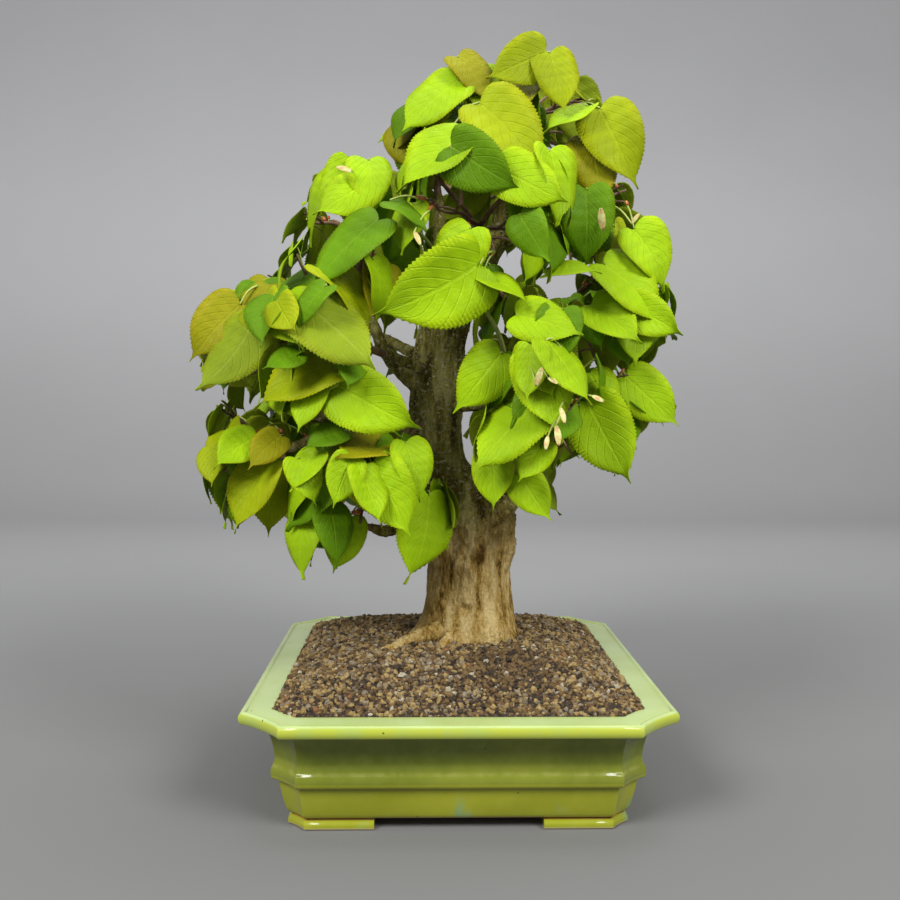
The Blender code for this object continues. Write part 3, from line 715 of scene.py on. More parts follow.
def trunkShape(turn, share):
    stations = trunk["curve"]
    position = share * (len(stations) - 1)
    index = min(int(position), len(stations) - 2)
    row = stations[index] * (1 - position + index) + stations[index + 1] * (position - index)
    height, x, y, halfX, halfY = row
    degrees = math.degrees(turn)
    out = 0.0
    fade = math.exp(-(max(height - trunk["flareFoot"], 0) / trunk["flareHeight"]) ** 1.4)
    for direction, amount, spread in trunk["flares"]:
        away = (degrees - direction + 180) % 360 - 180
        out += amount * fade * math.exp(-(away / spread) ** 2)
    for level, direction, amount, reach, spread in trunk["bumps"]:
        away = (degrees - direction + 180) % 360 - 180
        out += amount * math.exp(-(away / spread) ** 2 - ((height - level) / reach) ** 2)
    place = Vector((potMiddleX + x + halfX * math.cos(turn), y + halfY * math.sin(turn), height))
    (rough, rougher), (knot, reach) = trunk["rough"], trunk["knot"]
    out += barkRelief(place, rough + rougher * math.exp(-((height - knot) / reach) ** 2))
    return place + Vector((math.cos(turn), math.sin(turn), 0)) * out


def addLimb(work, points, thick, thin, around=18, steps=22, rough=0.5, taper=0.8):
    line = limbCurve(points, steps)
    thick, thin = inMetres((thick, thin))
    frames = limbFrames(line)
    last = len(line) - 1

    def shape(turn, share):
        index = round(share * last)
        radius = thick + (thin - thick) * share ** taper
        way = frames[index][0] * math.cos(turn) + frames[index][1] * math.sin(turn)
        place = line[index] + way * radius
        return place + way * barkRelief(place, rough)

    tubeOf(work, around, last, shape)


barkTones = {
    "tan": ((0.38, (0.12, 0.056, 0.008)), (0.46, (0.5, 0.32, 0.08)), (0.58, (0.8, 0.61, 0.27))),
    "grey": ((0.4, (0.06, 0.048, 0.006)), (0.5, (0.23, 0.2, 0.03)), (0.6, (0.52, 0.47, 0.15))),
}


def barkFinish(name, young=False):
    bark = Finish(name, Roughness=0.9, Specular_IOR_Level=0.15)
    height = bark.along("Z")
    seams = bark.noise(90.0, 8.0, 0.74, at=bark.place((1.0, 1.0, 0.26)))
    fine = bark.noise(520.0, 4.0)
    patch = bark.noise(24.0, 3.0)
    colour = bark.ramp(seams, *barkTones["grey"])
    if not young:
        tan = bark.ramp(seams, *barkTones["tan"])
        colour = bark.mix((height + 0.05 * patch).above(0.185, 0.235), tan, colour)
    # brown flakes round the knot and pale pores above it
    flakes = patch.above(0.52, 0.62) * (1 - height.above(0.2, 0.23)) * height.above(0.13, 0.16)
    colour = bark.mix(flakes * 0.6, colour, (0.12, 0.062, 0.024))
    pores = bark.noise(300.0, 4.0, 0.7, at=bark.place((1.0, 1.0, 1.5)))
    pore = pores.above(0.54, 0.59) * height.above(0.15, 0.24)
    colour = bark.mix(pore * 0.85, colour, (0.7, 0.64, 0.38))
    bark.paint("Base Color", bark.mix(fine.above(0.4, 0.8) * 0.3, colour, (0.05, 0.035, 0.015)))
    bark.bump(seams + 0.3 * fine + 0.4 * pore, 0.006, 1.0)
    return bark


def makeWood():
    trunk["curve"] = smoothLine(inMetres(trunk["stations"]), 6)
    work = bmesh.new()
    tubeOf(work, trunk["around"], trunk["along"], trunkShape)
    addLimb(work, *roots["surface"], around=28, steps=20, rough=1.3, taper=0.7)
    addLimb(work, *roots["front"], around=28, steps=20, rough=1.3, taper=0.7)
    addLimb(work, *roots["stub"], around=22, steps=14, rough=1.6)
    bmesh.ops.recalc_face_normals(work, faces=work.faces)
    showPiece("trunk_bark", meshOf("trunk_bark", work), [barkFinish("oldBark")], ("trunk",))
    work = bmesh.new()
    for plan in boughs.values():
        addLimb(work, *plan)
    bmesh.ops.recalc_face_normals(work, faces=work.faces)
    bark = barkFinish("youngBark", True)
    showPiece("bough_bark", meshOf("bough_bark", work), [bark], tuple(boughs))


makeWood()
print("trunk and boughs made")


# Foliage grows by the same seeded rule as the solids, and carries on to finer twigs and stalked leaves.

masses = {
    # bough, middle and half sizes of the space in millimetres, seed, share of yellow leaves
    "foliage_apex": ("bough_top", (58, -4, 486), (60, 68, 67), 11, 0.6),
    "foliage_upper_left": ("bough_upper_left", (-2, -10, 452), (64, 72, 72), 12, 0.3),
    "foliage_upper_right": ("bough_upper_right", (88, -8, 404), (58, 78, 70), 13, 0.1),
    "foliage_upper_front": ("bough_upper_front", (14, -74, 390), (70, 66, 72), 14, 0.05),
    "foliage_left_rising": ("bough_left_rising", (-70, -12, 400), (66, 76, 66), 15, 0.2),
    "foliage_left": ("bough_left", (-136, -12, 314), (68, 80, 64), 16, 0.5),
    "foliage_left_front": ("bough_left_front", (-86, -78, 312), (58, 64, 72), 17, 0.2),
    "foliage_left_hanging": ("bough_left_hanging", (-134, -28, 232), (64, 76, 64), 18, 0.25),
    "foliage_low_left": ("bough_low_left", (-62, -62, 220), (70, 70, 66), 19, 0.1),
    "foliage_right": ("bough_right_middle", (104, -14, 328), (66, 78, 60), 21, 0.1),
    "foliage_low_right": ("bough_right", (100, -20, 268), (62, 74, 50), 22, 0.1),
    "foliage_centre_front": ("bough_centre_front", (52, -82, 270), (56, 64, 78), 23, 0.05),
    "foliage_back_top": ("bough_back_top", (18, 66, 436), (80, 64, 74), 25, 0.2),
    "foliage_back_left": ("bough_back_left", (-92, 82, 338), (86, 70, 74), 26, 0.2),
    "foliage_back_right": ("bough_back_right", (82, 84, 338), (82, 68, 74), 27, 0.1),
    "foliage_low_back_left": ("bough_low_back_left", (-90, 76, 236), (82, 74, 64), 28, 0.1),
    "foliage_low_back_right": ("bough_low_back_right", (74, 82, 256), (76, 70, 54), 29, 0.1),
}
massNames = list(masses)
middles = np.array([inMetres(masses[name][1]) for name in massNames]) + (potMiddleX, 0, 0)
sizes = np.array([inMetres(masses[name][2]) for name in massNames])

growth = {
    "twigs": 10,
    "leaves": 22,
    "moreBehind": 8,
    "tries": 44,
    "shrink": 0.35,  # how much smaller the last try is
    "length": (0.04, 0.066),
    "stalk": (0.01, 0.024),
    # where leaves stand along the stem, a twig and a twiglet
    "stemPlaces": (1.0, 0.8),
    "places": (1.0, 0.8, 0.6, 0.42, 0.25),
    "sidePlaces": (1.0, 0.55),
    # twigs start further along the stem the more they point its way, and reach further upwards
    "twigStart": (0.62, 0.34),
    "twigReach": (0.6, 0.32),
    "wobble": 0.0016,
    "stemPast": 0.15,  # how far the stem runs past the middle
    # where on a twig its twiglets stand and on which side, and their share of its length
    "twigletsAt": ((0.35, 1), (0.65, -1)),
    "twigletLength": (0.35, 0.55),
    # how a leaf's stalk and blade may turn sideways, up, outwards and down
    "sideways": (-0.8, 0.8),
    "stalkUp": (-0.1, 0.6),
    "bladeOut": (0.15, 0.8),
    "bladeDown": (0.3, 1.5),
    "facing": (-0.35, 0.35),
    # radius at either end
    "stem": (0.003, 0.0018),
    "twig": (0.0019, 0.0009),
    "twiglet": (0.0012, 0.0007),
    "leafStalk": (0.0008, 0.0006),
    "backward": -0.55,
    "bareCore": 0.2,
    "tipEdge": 1.12,
    "highest": 0.522,  # of the middle of a blade
    # within this depth of its mass a leaf gets the dark colour as painted shade, and past it this share of
    # leaves gets it at random
    "touchReach": 0.075,
    "shadedInside": 0.68,
    "darkOutside": 0.27,
    "bronze": 0.3,
    "clearance": 0.8,  # from trunk and boughs, in millimetres
}

# Leaves that stand out in front, by where their stalk joins and their tip show in the picture.
shownLeaves = {
    "apexRight": ("yellow", (550, 52), (568, 110)),
    "apexLeft": ("yellow", (546, 52), (488, 78)),
    "apexPale": ("bronze", (458, 56), (494, 96)),
    "crownLeft": ("bright", (458, 80), (400, 128)),
    "crownBig": ("yellow", (480, 102), (550, 170)),
    "topRight": ("bright", (588, 106), (544, 132)),
    "farTopRight": ("yellow", (600, 108), (636, 184)),
    "upperLeftLarge": ("bright", (463, 134), (398, 192)),
    "upperDeep": ("deep", (450, 145), (516, 190)),
    "upperMiddle": ("bright", (500, 168), (566, 205)),
    "leftOfTop": ("bright", (372, 180), (314, 214)),
    "veinedDeep": ("deep", (378, 218), (308, 284)),
    "centralBright": ("bright", (480, 264), (382, 324)),
    "paleBack": ("under", (303, 300), (380, 366)),
    "leftBronze": ("bronze", (240, 304), (187, 358)),
    "leftCurled": ("under", (254, 322), (207, 398)),
    "leftLevel": ("yellow", (345, 360), (248, 392)),
    "beforeTrunk": ("bright", (338, 386), (416, 430)),
    "lowLeftLarge": ("yellow", (268, 462), (228, 530)),
    "lowLeftSmall": ("bright", (298, 458), (314, 504)),
    "lowMiddle": ("bright", (372, 464), (414, 534)),
    "lowMiddlePair": ("bright", (362, 468), (378, 524)),
    "lowHanging": ("bright", (430, 494), (420, 586)),
    "lowDeep": ("deep", (330, 505), (340, 566)),
    "lowTip": ("bright", (305, 515), (294, 578)),
    "heart": ("bright", (502, 352), (456, 410)),
    "longRight": ("bright", (544, 398), (468, 466)),
    "underLong": ("bright", (492, 450), (497, 510)),
    "lowRight": ("bright", (520, 474), (548, 522)),
    "rightLevel": ("bright", (516, 314), (584, 332)),
    "rightHanging": ("bright", (546, 340), (594, 404)),
    "rightLong": ("bright", (588, 402), (630, 484)),
    "farRight": ("bright", (604, 262), (668, 320)),
    "farRightUpper": ("bright", (634, 228), (672, 284)),
    "farRightLevel": ("bright", (628, 306), (684, 331)),
    "farRightLow": ("bright", (626, 376), (680, 426)),
    "middleRight": ("deep", (520, 214), (548, 262)),
    "middleRightPair": ("bright", (482, 276), (534, 296)),
    "rightOfKnot": ("bright", (545, 272), (600, 262)),
    "leftUpper": ("deep", (390, 200), (430, 222)),
    "nearLeft": ("deep", (300, 352), (262, 366)),
    "lowLeftMiddle": ("bright", (318, 452), (290, 492)),
    "lowLeftDeep": ("deep", (345, 430), (302, 444)),
    "lowBetween": ("bright", (352, 458), (330, 506)),
}

twigLines = []  # (points, thick end, thin end)
stalkLines = []
leavesOf = {"bright": [], "deep": [], "yellow": [], "bronze": []}
leafHints = []  # (middle, search tree) of each leaf placed so far
limbTrees = []  # the same for trunk and boughs
shownTrees = []
shownBases = []
trunkFront = 0.01  # leaves this far back or further stand behind the trunk

# Parts of the picture where the trunk or the sky shows between the leaves: left, top, right, bottom.
openPlaces = {
    "trunk": (408, 318, 462, 456),
    "trunkFoot": (462, 468, 514, 620),
    "leftGap": (366, 344, 404, 384),
    "underLeft": (446, 560, 700, 640),
    "besideTop": (556, 92, 584, 150),
    "rightFork": (552, 446, 600, 560),
    "twigsUnderTop": (424, 184, 470, 236),
    "knot": (486, 192, 522, 258),
}


def depthsAt(point):
    # 0 at the middle of each mass's space and 1 at its edge
    return np.sqrt((((np.array(point) - middles) / sizes) ** 2).sum(1))


def keepsTo(own, points, edge):
    # True where each point lies nearest its own mass, and within this share of its space
    for point in points:
        depths = depthsAt(point)
        if depths[own] > edge or depths.argmin() != own:
            return False
    return True


def evenDirections(count, chance):
    turn = chance.uniform(0, 2 * math.pi)
    golden = math.pi * (3 - math.sqrt(5))
    directions = []
    for number in range(count):
        level = 1 - 2 * (number + 0.5) / count
        around, angle = math.sqrt(1 - level * level), turn + golden * number
        directions.append(Vector((around * math.cos(angle), around * math.sin(angle), level)))
    return directions


def risingLine(start, aim, rise, steps):
    # a line that bows upwards on its way
    line = [start.lerp(aim, step / steps) for step in range(steps + 1)]
    for step, point in enumerate(line):
        share = step / steps
        point.z += rise * 4 * share * (1 - share)
    return line


def alongLine(line, share):
    # the place at a share of a line, and the direction there
    position = share * (len(line) - 1)
    index = min(int(position), len(line) - 2)
    return line[index].lerp(line[index + 1], position - index), (line[index + 1] - line[index]).normalized()


def leafHint(base, tip, facing):
    # the leaf as a kite, to see what it would touch
    along = tip - base
    side = along.cross(facing).normalized() * along.length * 0.36
    wide = base.lerp(tip, 0.38)
    corners = [base.lerp(tip, 0.04), wide + side, tip, wide - side]
    return BVHTree.FromPolygons(corners, [(0, 1, 3), (1, 2, 3)])


def isFree(base, tip, hint):
    middle = base.lerp(tip, 0.5)
    near = [tree for other, tree in leafHints if (other - middle).length < growth["touchReach"]]
    return not any(hint.overlap(tree) for tree in (*limbTrees, *near))


def keepLeaf(kind, base, tip, facing, hint):
    leafHints.append((base.lerp(tip, 0.5), hint))
    leavesOf[kind].append((base, tip, facing))


def sightLine(pixel):
    # the line of sight through a point of the picture
    eye = bpy.context.scene.camera.matrix_world
    middle, focus = camera["pictureMiddle"], camera["focus"]
    way = eye.to_3x3() @ Vector(((pixel[0] - middle) / focus, (middle - pixel[1]) / focus, -1))
    return camera["place"], way


def pointAt(pixel, depth):
    # the point on that line of sight at this depth behind the middle of the pot
    start, way = sightLine(pixel)
    return start + way * ((depth - start.y) / way.y)


# The crown's outline in the picture: the rule's leaves keep inside it.
crownOutline = (
    (550, 35), (579, 68), (576, 100), (609, 103), (638, 186), (606, 200), (642, 216), (670, 249),
    (672, 286), (672, 316), (694, 336), (653, 353), (642, 375), (675, 401), (679, 430), (640, 420),
    (631, 475), (616, 490), (598, 455), (572, 460), (553, 475), (553, 519), (535, 519), (513, 501),
    (466, 520), (461, 538), (446, 575), (420, 586), (398, 550), (369, 545), (330, 582), (295, 575),
    (290, 535), (224, 538), (197, 504), (198, 456), (210, 419), (204, 397), (186, 360), (187, 331),
    (213, 301), (272, 275), (280, 220), (305, 200), (325, 160), (387, 132), (400, 126), (391, 105),
    (454, 53), (483, 62), (531, 38),
)


def isInOutline(x, y):
    inside = False
    before = crownOutline[-1]
    for after in crownOutline:
        if (before[1] > y) != (after[1] > y):
            crossing = before[0] + (y - before[1]) / (after[1] - before[1]) * (after[0] - before[0])
            inside ^= x < crossing
        before = after
    return inside


def pixelOf(point):
    # where a point shows in the picture
    eye = bpy.context.scene.camera.matrix_world
    seen = eye.to_3x3().transposed() @ (point - camera["place"])
    middle, focus = camera["pictureMiddle"], camera["focus"]
    return middle - focus * seen.x / seen.z, middle + focus * seen.y / seen.z


def hidesWhatShows(base, tip, facing):
    # True where a leaf would stand before a shown leaf or an open place of the crown
    along = tip - base
    side = along.cross(facing).normalized() * along.length * 0.33
    wide = base.lerp(tip, 0.35)
    for point in (base, wide, tip, base.lerp(tip, 0.7), wide + side, wide - side):
        x, y = pixelOf(point)
        if not isInOutline(x, y):
            return True
        for left, top, right, bottom in openPlaces.values():
            if point.y < trunkFront and left < x < right and top < y < bottom:
                return True
        way = (point - camera["place"]).normalized()
        if any(tree.ray_cast(point, way, 0.2)[0] for tree in shownTrees):
            return True
    return False


def crownFront(pixel):
    # where the line of sight through a point of the picture meets the crown, or passes closest to it
    start, way = sightLine(pixel)
    best = None
    for middle, size in zip(middles, sizes):
        a = np.array(way) / size
        b = (np.array(start) - middle) / size
        nearest = -a.dot(b) / a.dot(a)
        off = b.dot(b) - nearest ** 2 * a.dot(a)
        inside = math.sqrt(max(1 - off, 0) / a.dot(a))
        rank = (0, nearest - inside) if off < 0.98 else (off, nearest)
        if best is None or rank < best:
            best = rank
    return start + way * best[1]


def placeShownLeaves():
    chance = random.Random(3)
    for kind, basePixel, tipPixel in shownLeaves.values():
        base, tip = crownFront(basePixel), crownFront(tipPixel)
        # both ends at about one depth, with the tip a little nearer
        depth = 0.5 * (base.y + tip.y)
        base, tip = pointAt(basePixel, depth + 0.006), pointAt(tipPixel, depth - 0.006)
        facing = Vector((chance.uniform(-0.3, 0.3), -1.0, 0.55 + chance.uniform(-0.2, 0.2)))
        facing += (tip - base).cross(facing).normalized() * chance.uniform(-0.75, 0.75)
        if kind == "under":
            facing = -facing
        hint = leafHint(base, tip, facing)
        keepLeaf("bright" if kind == "under" else kind, base, tip, facing, hint)
        shownTrees.append(hint)
        shownBases.append(base)


def growTwigs(own, chance):
    # stem, twigs and twiglets of one mass, each with the places along it where leaves stand
    middle, size = Vector(middles[own]), Vector(sizes[own])
    line = limbCurve(boughs[masses[massNames[own]][0]][0], 3)
    heading = (line[-1] - line[-2]).normalized()
    foot = line[-1] - heading * 0.002
    stem = risingLine(foot, middle + (middle - foot) * growth["stemPast"], 0.004, 4)
    stem[1] = foot + heading * (stem[1] - foot).length
    twigLines.append((stem, *growth["stem"]))
    forward = (stem[-1] - stem[0]).normalized()
    carriers = [(stem, growth["stemPlaces"])]
    (share, more), (reach, higher) = growth["twigStart"], growth["twigReach"]
    for direction in evenDirections(growth["twigs"], chance):
        lean = direction.dot(forward)
        if lean < growth["backward"]:
            continue
        start = alongLine(stem, share + more * lean)[0]
        edge = Vector(d * s for d, s in zip(direction, size))
        aim = middle + edge * (reach + higher * max(direction.z, 0.0))
        twig = risingLine(start, aim, 0.003, 4)
        chance.uniform(0, 2)  # the solids turn each twig by this draw, which a round one doesn't need
        if not keepsTo(own, twig[1:], 1.0) or not isInOutline(*pixelOf(twig[-1])):
            continue
        for index in (1, 2, 3):
            twig[index] += Vector(chance.uniform(-growth["wobble"], growth["wobble"]) for axis in range(3))
        twigLines.append((twig, *growth["twig"]))
        carriers.append((twig, growth["places"]))
        for place, side in growth["twigletsAt"]:
            root, ahead = alongLine(twig, place)
            beside = ahead.cross(Vector((0, 0, 1))).normalized() * side
            length = (twig[-1] - twig[0]).length * chance.uniform(*growth["twigletLength"])
            aim = root + (ahead * 0.6 + beside * 0.8 + Vector((0, 0, 0.15))) * length
            if keepsTo(own, [aim], 0.9):
                twiglet = risingLine(root, aim, 0.002, 3)
                twigLines.append((twiglet, *growth["twiglet"]))
                carriers.append((twiglet, growth["sidePlaces"]))
    return carriers


def drawLeaf(root, out, shrink, chance):
    # a leaf on a stalk from root, turned outwards and hanging: its base, its tip and the way it faces
    side = out.cross(Vector((0, 0, 1))).normalized()
    length = chance.uniform(*growth["length"]) * shrink
    stalk = out * 0.6 + side * chance.uniform(*growth["sideways"])
    stalk += Vector((0, 0, chance.uniform(*growth["stalkUp"])))
    base = root + stalk.normalized() * chance.uniform(*growth["stalk"])
    way = out * chance.uniform(*growth["bladeOut"]) + side * chance.uniform(*growth["sideways"])
    way.z -= chance.uniform(*growth["bladeDown"])
    facing = out + Vector((0, 0, 0.6)) + Vector(chance.uniform(*growth["facing"]) for axis in range(3))
    return base, base + way.normalized() * length, facing


def roomFor(own, base, tip, facing):
    # the leaf's hint if it keeps to its mass, hides nothing that shows and touches nothing
    wide = base.lerp(tip, 0.38)
    if not (keepsTo(own, (base, wide), 1.0) and keepsTo(own, (tip,), growth["tipEdge"])):
        return None
    if wide.z > growth["highest"] or hidesWhatShows(base, tip, facing):
        return None
    hint = leafHint(base, tip, facing)
    return hint if isFree(base, tip, hint) else None


def leafKind(own, base, tip, chance):
    # more yellow and bronze leaves on top; leaves deep inside the mass get the dark colour as painted shade,
    # and some outer ones get it at random
    yellow = masses[massNames[own]][4] * (1.3 if tip.z > middles[own][2] else 0.7)
    if chance.random() < yellow:
        return "bronze" if chance.random() < growth["bronze"] else "yellow"
    if depthsAt(base.lerp(tip, 0.38))[own] < growth["shadedInside"]:
        return "deep"
    return "deep" if chance.random() < growth["darkOutside"] else "bright"


def growMass(own):
    chance = random.Random(masses[massNames[own]][3])
    carriers = growTwigs(own, chance)
    spots = [(place, number, twig) for number, (twig, places) in enumerate(carriers) for place in places]
    spots.sort(key=lambda spot: (-spot[0], spot[1]))
    middle, size = Vector(middles[own]), Vector(sizes[own])
    grown = 0
    most = growth["leaves"] + growth["moreBehind"] * ("back" in massNames[own])
    for place, number, twig in spots:
        root = alongLine(twig, place)[0]
        if grown == most or depthsAt(root)[own] < growth["bareCore"]:
            continue
        out = Vector((r - m) / s for r, m, s in zip(root, middle, size)).normalized()
        for attempt in range(growth["tries"]):
            shrink = 1 - growth["shrink"] * attempt / growth["tries"]
            base, tip, facing = drawLeaf(root, out, shrink, chance)
            hint = roomFor(own, base, tip, facing)
            if hint:
                keepLeaf(leafKind(own, base, tip, chance), base, tip, facing, hint)
                bend = root.lerp(base, 0.5) + Vector((0, 0, 0.0025))
                stalkLines.append(([root, bend, base], *growth["leafStalk"]))
                grown += 1
                break
    return grown


def limbTree(points, thick, thin):
    work = bmesh.new()
    thick, thin = thick + growth["clearance"], thin + growth["clearance"]
    addLimb(work, points, thick, thin, around=6, steps=3, rough=0)
    tree = BVHTree.FromBMesh(work)
    work.free()
    return tree


def stalkShownLeaves():
    # joins each shown leaf to the nearest twig by a twiglet, where it is far, and a stalk
    shares = (0.25, 0.5, 0.75, 1.0)
    knots = [alongLine(line, share)[0] for line, thick, thin in twigLines for share in shares]
    for base in shownBases:
        knot = min(knots, key=lambda place: (place - base).length)
        gap = (base - knot).length
        start = knot
        if gap > 0.026:
            start = knot.lerp(base, 1 - 0.024 / gap) + Vector((0, 0, 0.004))
            twigLines.append((risingLine(knot, start, 0.003, 4), 0.0013, 0.0008))
        bend = start.lerp(base, 0.55) + Vector((0, 0, 0.003))
        stalkLines.append(([start, bend, base], 0.0009, 0.0006))


def makeThreads(name, lines, finish, sides):
    # twigs or stalks as round curves, turned into one mesh
    curve = bpy.data.curves.new(name, "CURVE")
    curve.dimensions = "3D"
    curve.bevel_depth = 1.0
    curve.bevel_resolution = sides
    curve.use_fill_caps = True
    for line, thick, thin in lines:
        spline = curve.splines.new("POLY")
        rows = smoothLine([tuple(point) for point in line], 3)
        spline.points.add(len(rows) - 1)
        for index, (corner, row) in enumerate(zip(spline.points, rows)):
            corner.co = (*row, 1)
            corner.radius = thick + (thin - thick) * index / (len(rows) - 1)
    drawn = inScene(name, curve)
    mesh = bpy.data.meshes.new_from_object(drawn.evaluated_get(bpy.context.evaluated_depsgraph_get()))
    bpy.data.objects.remove(drawn)
    bpy.data.curves.remove(curve)
    mesh.materials.clear()
    showPiece(name, mesh, [finish])


leaf = {
    "across": 6,
    "along": 56,
    "width": 0.71,
    # half width along the blade, from the stalk to the drip tip
    "outline": (
        (0.0, 0.66), (0.06, 0.86), (0.15, 0.97), (0.28, 1.0), (0.42, 0.96), (0.55, 0.85),
        (0.66, 0.68), (0.75, 0.47), (0.82, 0.27), (0.87, 0.12), (0.92, 0.05), (1.0, 0.01),
    ),
    "lobe": 0.08,
    "tooth": 0.05,
    "veins": 7,
    "slant": 0.46,
    "quilt": 0.011,
    "thickness": 0.0003,
    "together": 100,
    # how far one leaf may differ from the next
    "uneven": 0.05,
    "fold": (-0.1, 0.3),
    "curl": (0.0, 0.55),
    "wave": (0.015, 0.05),
    "bend": 0.09,
    "rim": 0.99,
    "teethEnd": 0.86,
}

leafColours = {
    # blade and veins
    "bright": ((0.315, 0.52, 0.002), (0.41, 0.6, 0.016)),
    # the dark leaves: painted shade inside the crown and on the shown leaves of this kind, and darker leaves
    # dealt at random among the outer ones
    "deep": ((0.115, 0.255, 0.001), (0.2, 0.35, 0.008)),
    "yellow": ((0.31, 0.39, 0.001), (0.37, 0.45, 0.006)),
    "bronze": ((0.265, 0.265, 0.002), (0.36, 0.34, 0.012)),
}


def leafCorners(base, tip, facing, grid, chance):
    # one leaf's corners: toothed and lobed in outline, folded, curled, waved and bent by chance
    length = (tip - base).length
    along = (tip - base).normalized()
    across = along.cross(facing).normalized()
    up = across.cross(along)
    u, v = 2 * grid[:, 0] - 1, grid[:, 1]
    reach = np.abs(u)
    half = np.interp(v, *zip(*leaf["outline"])) * leaf["width"] * length / 2
    row = np.round(v * leaf["along"])
    odd = (reach > leaf["rim"]) * (row % 2) * (v < leaf["teethEnd"])
    x = u * half * (1 + leaf["tooth"] * odd) * (1 + leaf["uneven"] * chance.uniform(-1, 1) * np.sign(u))
    y = v * length - leaf["lobe"] * length * (1 - v) ** 3 * reach * (1.5 - reach) / 0.56
    y += odd * 0.012 * length
    fold, curl = chance.uniform(*leaf["fold"]), chance.uniform(*leaf["curl"])
    wave, phase = chance.uniform(*leaf["wave"]), chance.uniform(0, 6.28)
    z = fold * np.abs(x) - curl * length * (v - 0.3) ** 2
    z += wave * length * np.sin(7.5 * v + phase + 1.5 * np.sign(u)) * u * u
    quilt = np.abs(np.sin(math.pi * leaf["veins"] * (v - leaf["slant"] * reach)))
    z += leaf["quilt"] * length * quilt * (1 - v) * (reach < leaf["rim"])
    x += chance.uniform(-leaf["bend"], leaf["bend"]) * length * v ** 3
    corners = np.outer(x, across) + np.outer(y, along) + np.outer(z, up)
    return corners + np.array(base)


def leafFinish(name, colour, veinColour, roughness=0.5, depth=0.24):
    blade = Finish(name, Roughness=roughness, Specular_IOR_Level=0.12)
    spot = blade.add("UVMap", {"uv_map": "blade"})
    u, v = (blade.add("SeparateXYZ", inputs={0: spot}, output=axis) for axis in (0, 1))
    reach = abs(2 * u - 1)
    veins = (leaf["veins"] * (v - leaf["slant"] * reach)).folded(0.5)
    line = (1 - veins.above(0.03, 0.1)).atLeast(1 - reach.above(0.02, 0.07))
    net = blade.cells(420.0, feature="DISTANCE_TO_EDGE").above(0.0, 0.1)
    cloud = blade.noise(26.0, 2.0)
    darker = tuple(0.72 * part for part in colour)
    body = blade.mix(cloud.above(0.3, 0.7), darker, colour)
    ripe = (reach * (0.5 + cloud)).above(0.62, 1.05) * 0.45
    body = blade.mix(ripe, body, (colour[0] * 1.3, colour[1] * 1.04, colour[2]))
    body = blade.mix((1 - net) * 0.16, body, veinColour)
    blade.paint("Base Color", blade.mix(line * depth, body, veinColour))
    blade.bump(1 - line * 0.7 + net * 0.3, 0.0006, 0.7)
    return blade


def makeLeaves():
    chance = random.Random(77)
    grid, faces = gridOf(leaf["across"], leaf["along"])
    back = leafFinish("leafBack", (0.23, 0.32, 0.008), (0.33, 0.4, 0.045), 0.6, 0.35)
    replaced = tuple(massNames)
    for kind, colours in leafColours.items():
        front = leafFinish("leaf" + kind.capitalize(), *colours)
        for first in range(0, len(leavesOf[kind]), leaf["together"]):
            placed = leavesOf[kind][first:first + leaf["together"]]
            name = "leaves_%s_%d" % (kind, first // leaf["together"] + 1)
            mesh = joinedMesh(name, [leafCorners(*one, grid, chance) for one in placed], faces)
            spots = np.tile(grid[np.array(faces).ravel()], (len(placed), 1))
            mesh.uv_layers.new(name="blade").data.foreach_set("uv", spots.ravel().astype(np.float32))
            solid = thicken(showPiece(name, mesh, [front, back], replaced), leaf["thickness"])
            solid.offset = -1
            solid.material_offset = 1
            replaced = ()


budScales = {
    # where each pale scale hangs in the picture: upper end and lower end
    "farRight": ((632, 224), (640, 214)),
    "right": ((603, 230), (601, 208)),
    "orange": ((536, 386), (542, 368)),
    "forkPale": ((556, 426), (558, 446)),
    "forkPair": ((548, 436), (546, 450)),
    "rightPale": ((592, 396), (604, 402)),
    "middlePale": ((548, 378), (558, 384)),
    "knotPale": ((414, 232), (420, 246)),
    "topLeft": ((352, 172), (336, 168)),
    "lowRight": ((560, 408), (564, 424)),
}

def makeBudScales():
    chance = random.Random(31)
    grid, faces = gridOf(2, 10)
    u, v = 2 * grid[:, 0] - 1, grid[:, 1]
    shapes = []
    for upper, lower in budScales.values():
        base = crownFront(upper)
        tip = pointAt(lower, base.y - 0.002)
        along = (tip - base).normalized()
        across = along.cross(Vector((chance.uniform(-0.4, 0.4), -1, 0.3))).normalized()
        length = (tip - base).length
        x = u * 0.17 * length * np.sin(math.pi * (0.06 + 0.9 * v)) ** 0.8
        z = 0.1 * length * (u * u + np.sin(2.5 * v))
        corners = np.outer(x, across) + np.outer(v * length, along) + np.outer(z, across.cross(along))
        shapes.append(corners + np.array(base))
        shownBases.append(base)
    cream = Finish("budScale", Roughness=0.55)
    cream.twoTones(300.0, 3.0, (0.4, 0.65), (0.56, 0.58, 0.21), (0.56, 0.33, 0.12), 0.0003)
    scales = showPiece("bud_scales", joinedMesh("bud_scales", shapes, faces), [cream])
    thicken(scales, leaf["thickness"])


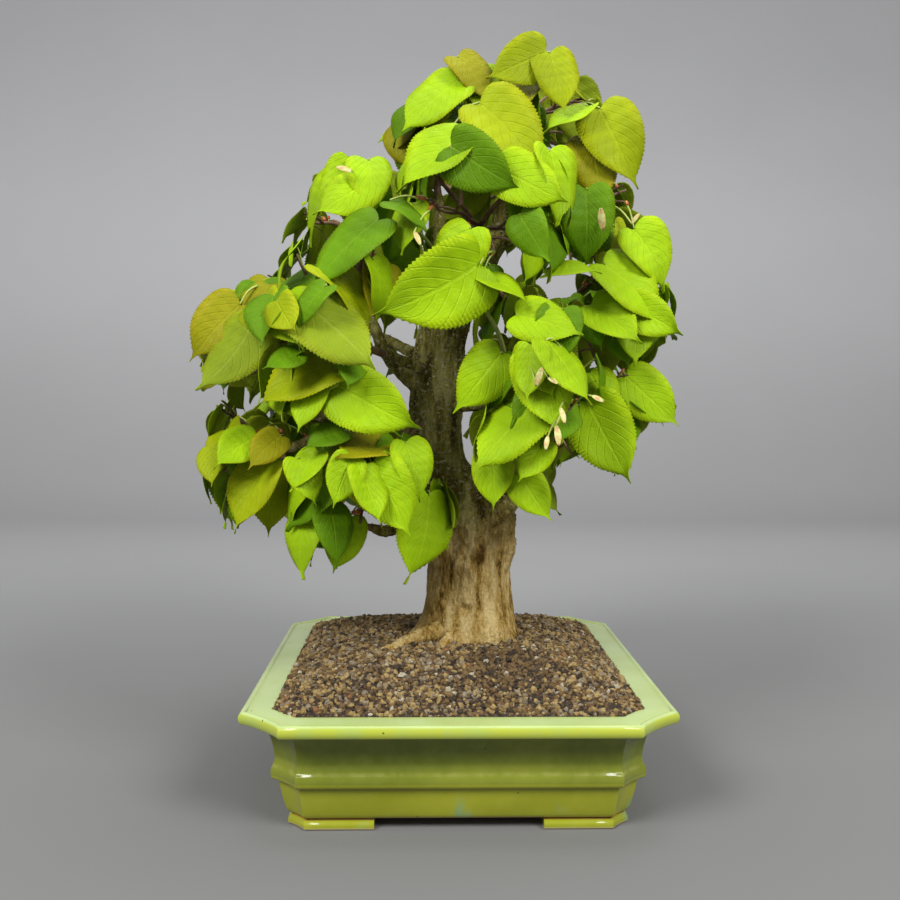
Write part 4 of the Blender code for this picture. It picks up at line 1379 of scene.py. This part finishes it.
shoot = {
    # the green shoot before the trunk: places in the picture and their depths, and the radius at either end
    "points": (((504, 352), -0.022), ((497, 330), -0.05), ((478, 300), -0.066), ((446, 262), -0.066),
               ((412, 224), -0.058)),
    "ends": (0.0019, 0.0013),
}


def makeShoot():
    stalkLines.append(([pointAt(*row) for row in shoot["points"]], *shoot["ends"]))


buds = {"seed": 9, "every": 2, "length": 0.0034, "width": 0.0015}


def makeBuds():
    # a small red bud beside the foot of some leaf stalks
    chance = random.Random(buds["seed"])
    work = bmesh.new()
    for stalk, thick, thin in stalkLines[::buds["every"]]:
        way = (stalk[1] - stalk[0]).normalized()
        turn = Vector((0, 0, 1)).rotation_difference(way).to_matrix().to_4x4()
        shape = Matrix.Diagonal((buds["width"], buds["width"], buds["length"], 1)) * chance.uniform(0.8, 1.3)
        shape[3][3] = 1
        place = Matrix.Translation(stalk[0] + way * buds["length"] + Vector((0, 0, 0.0012)))
        bmesh.ops.create_icosphere(work, subdivisions=1, radius=1.0, matrix=place @ turn @ shape)
    red = Finish("budRed", Roughness=0.4)
    red.twoTones(400.0, 2.0, (0.35, 0.65), (0.33, 0.05, 0.018), (0.5, 0.17, 0.04), 0.0002)
    showPiece("buds", meshOf("buds", work), [red])


def makeTwigs():
    brown = Finish("twigBark", Roughness=0.6)
    brown.twoTones(160.0, 3.0, (0.35, 0.65), (0.115, 0.05, 0.024), (0.2, 0.12, 0.055), 0.0004)
    makeThreads("twigs", twigLines, brown, 1)
    green = Finish("stalkGreen", Roughness=0.5)
    green.twoTones(120.0, 2.0, (0.35, 0.65), (0.3, 0.42, 0.05), (0.42, 0.46, 0.11))
    makeThreads("leaf_stalks", stalkLines, green, 0)


limbTrees += [limbTree(*plan) for plan in boughs.values()]
trunkLine = tuple((x, y, height) for height, x, y, *half in trunk["stations"])
limbTrees.append(limbTree(trunkLine, *trunk["hint"]))
placeShownLeaves()
for own, name in enumerate(massNames):
    print(name, growMass(own), "leaves")
makeBudScales()
stalkShownLeaves()
makeShoot()
makeTwigs()
makeBuds()
makeLeaves()
print("foliage made")
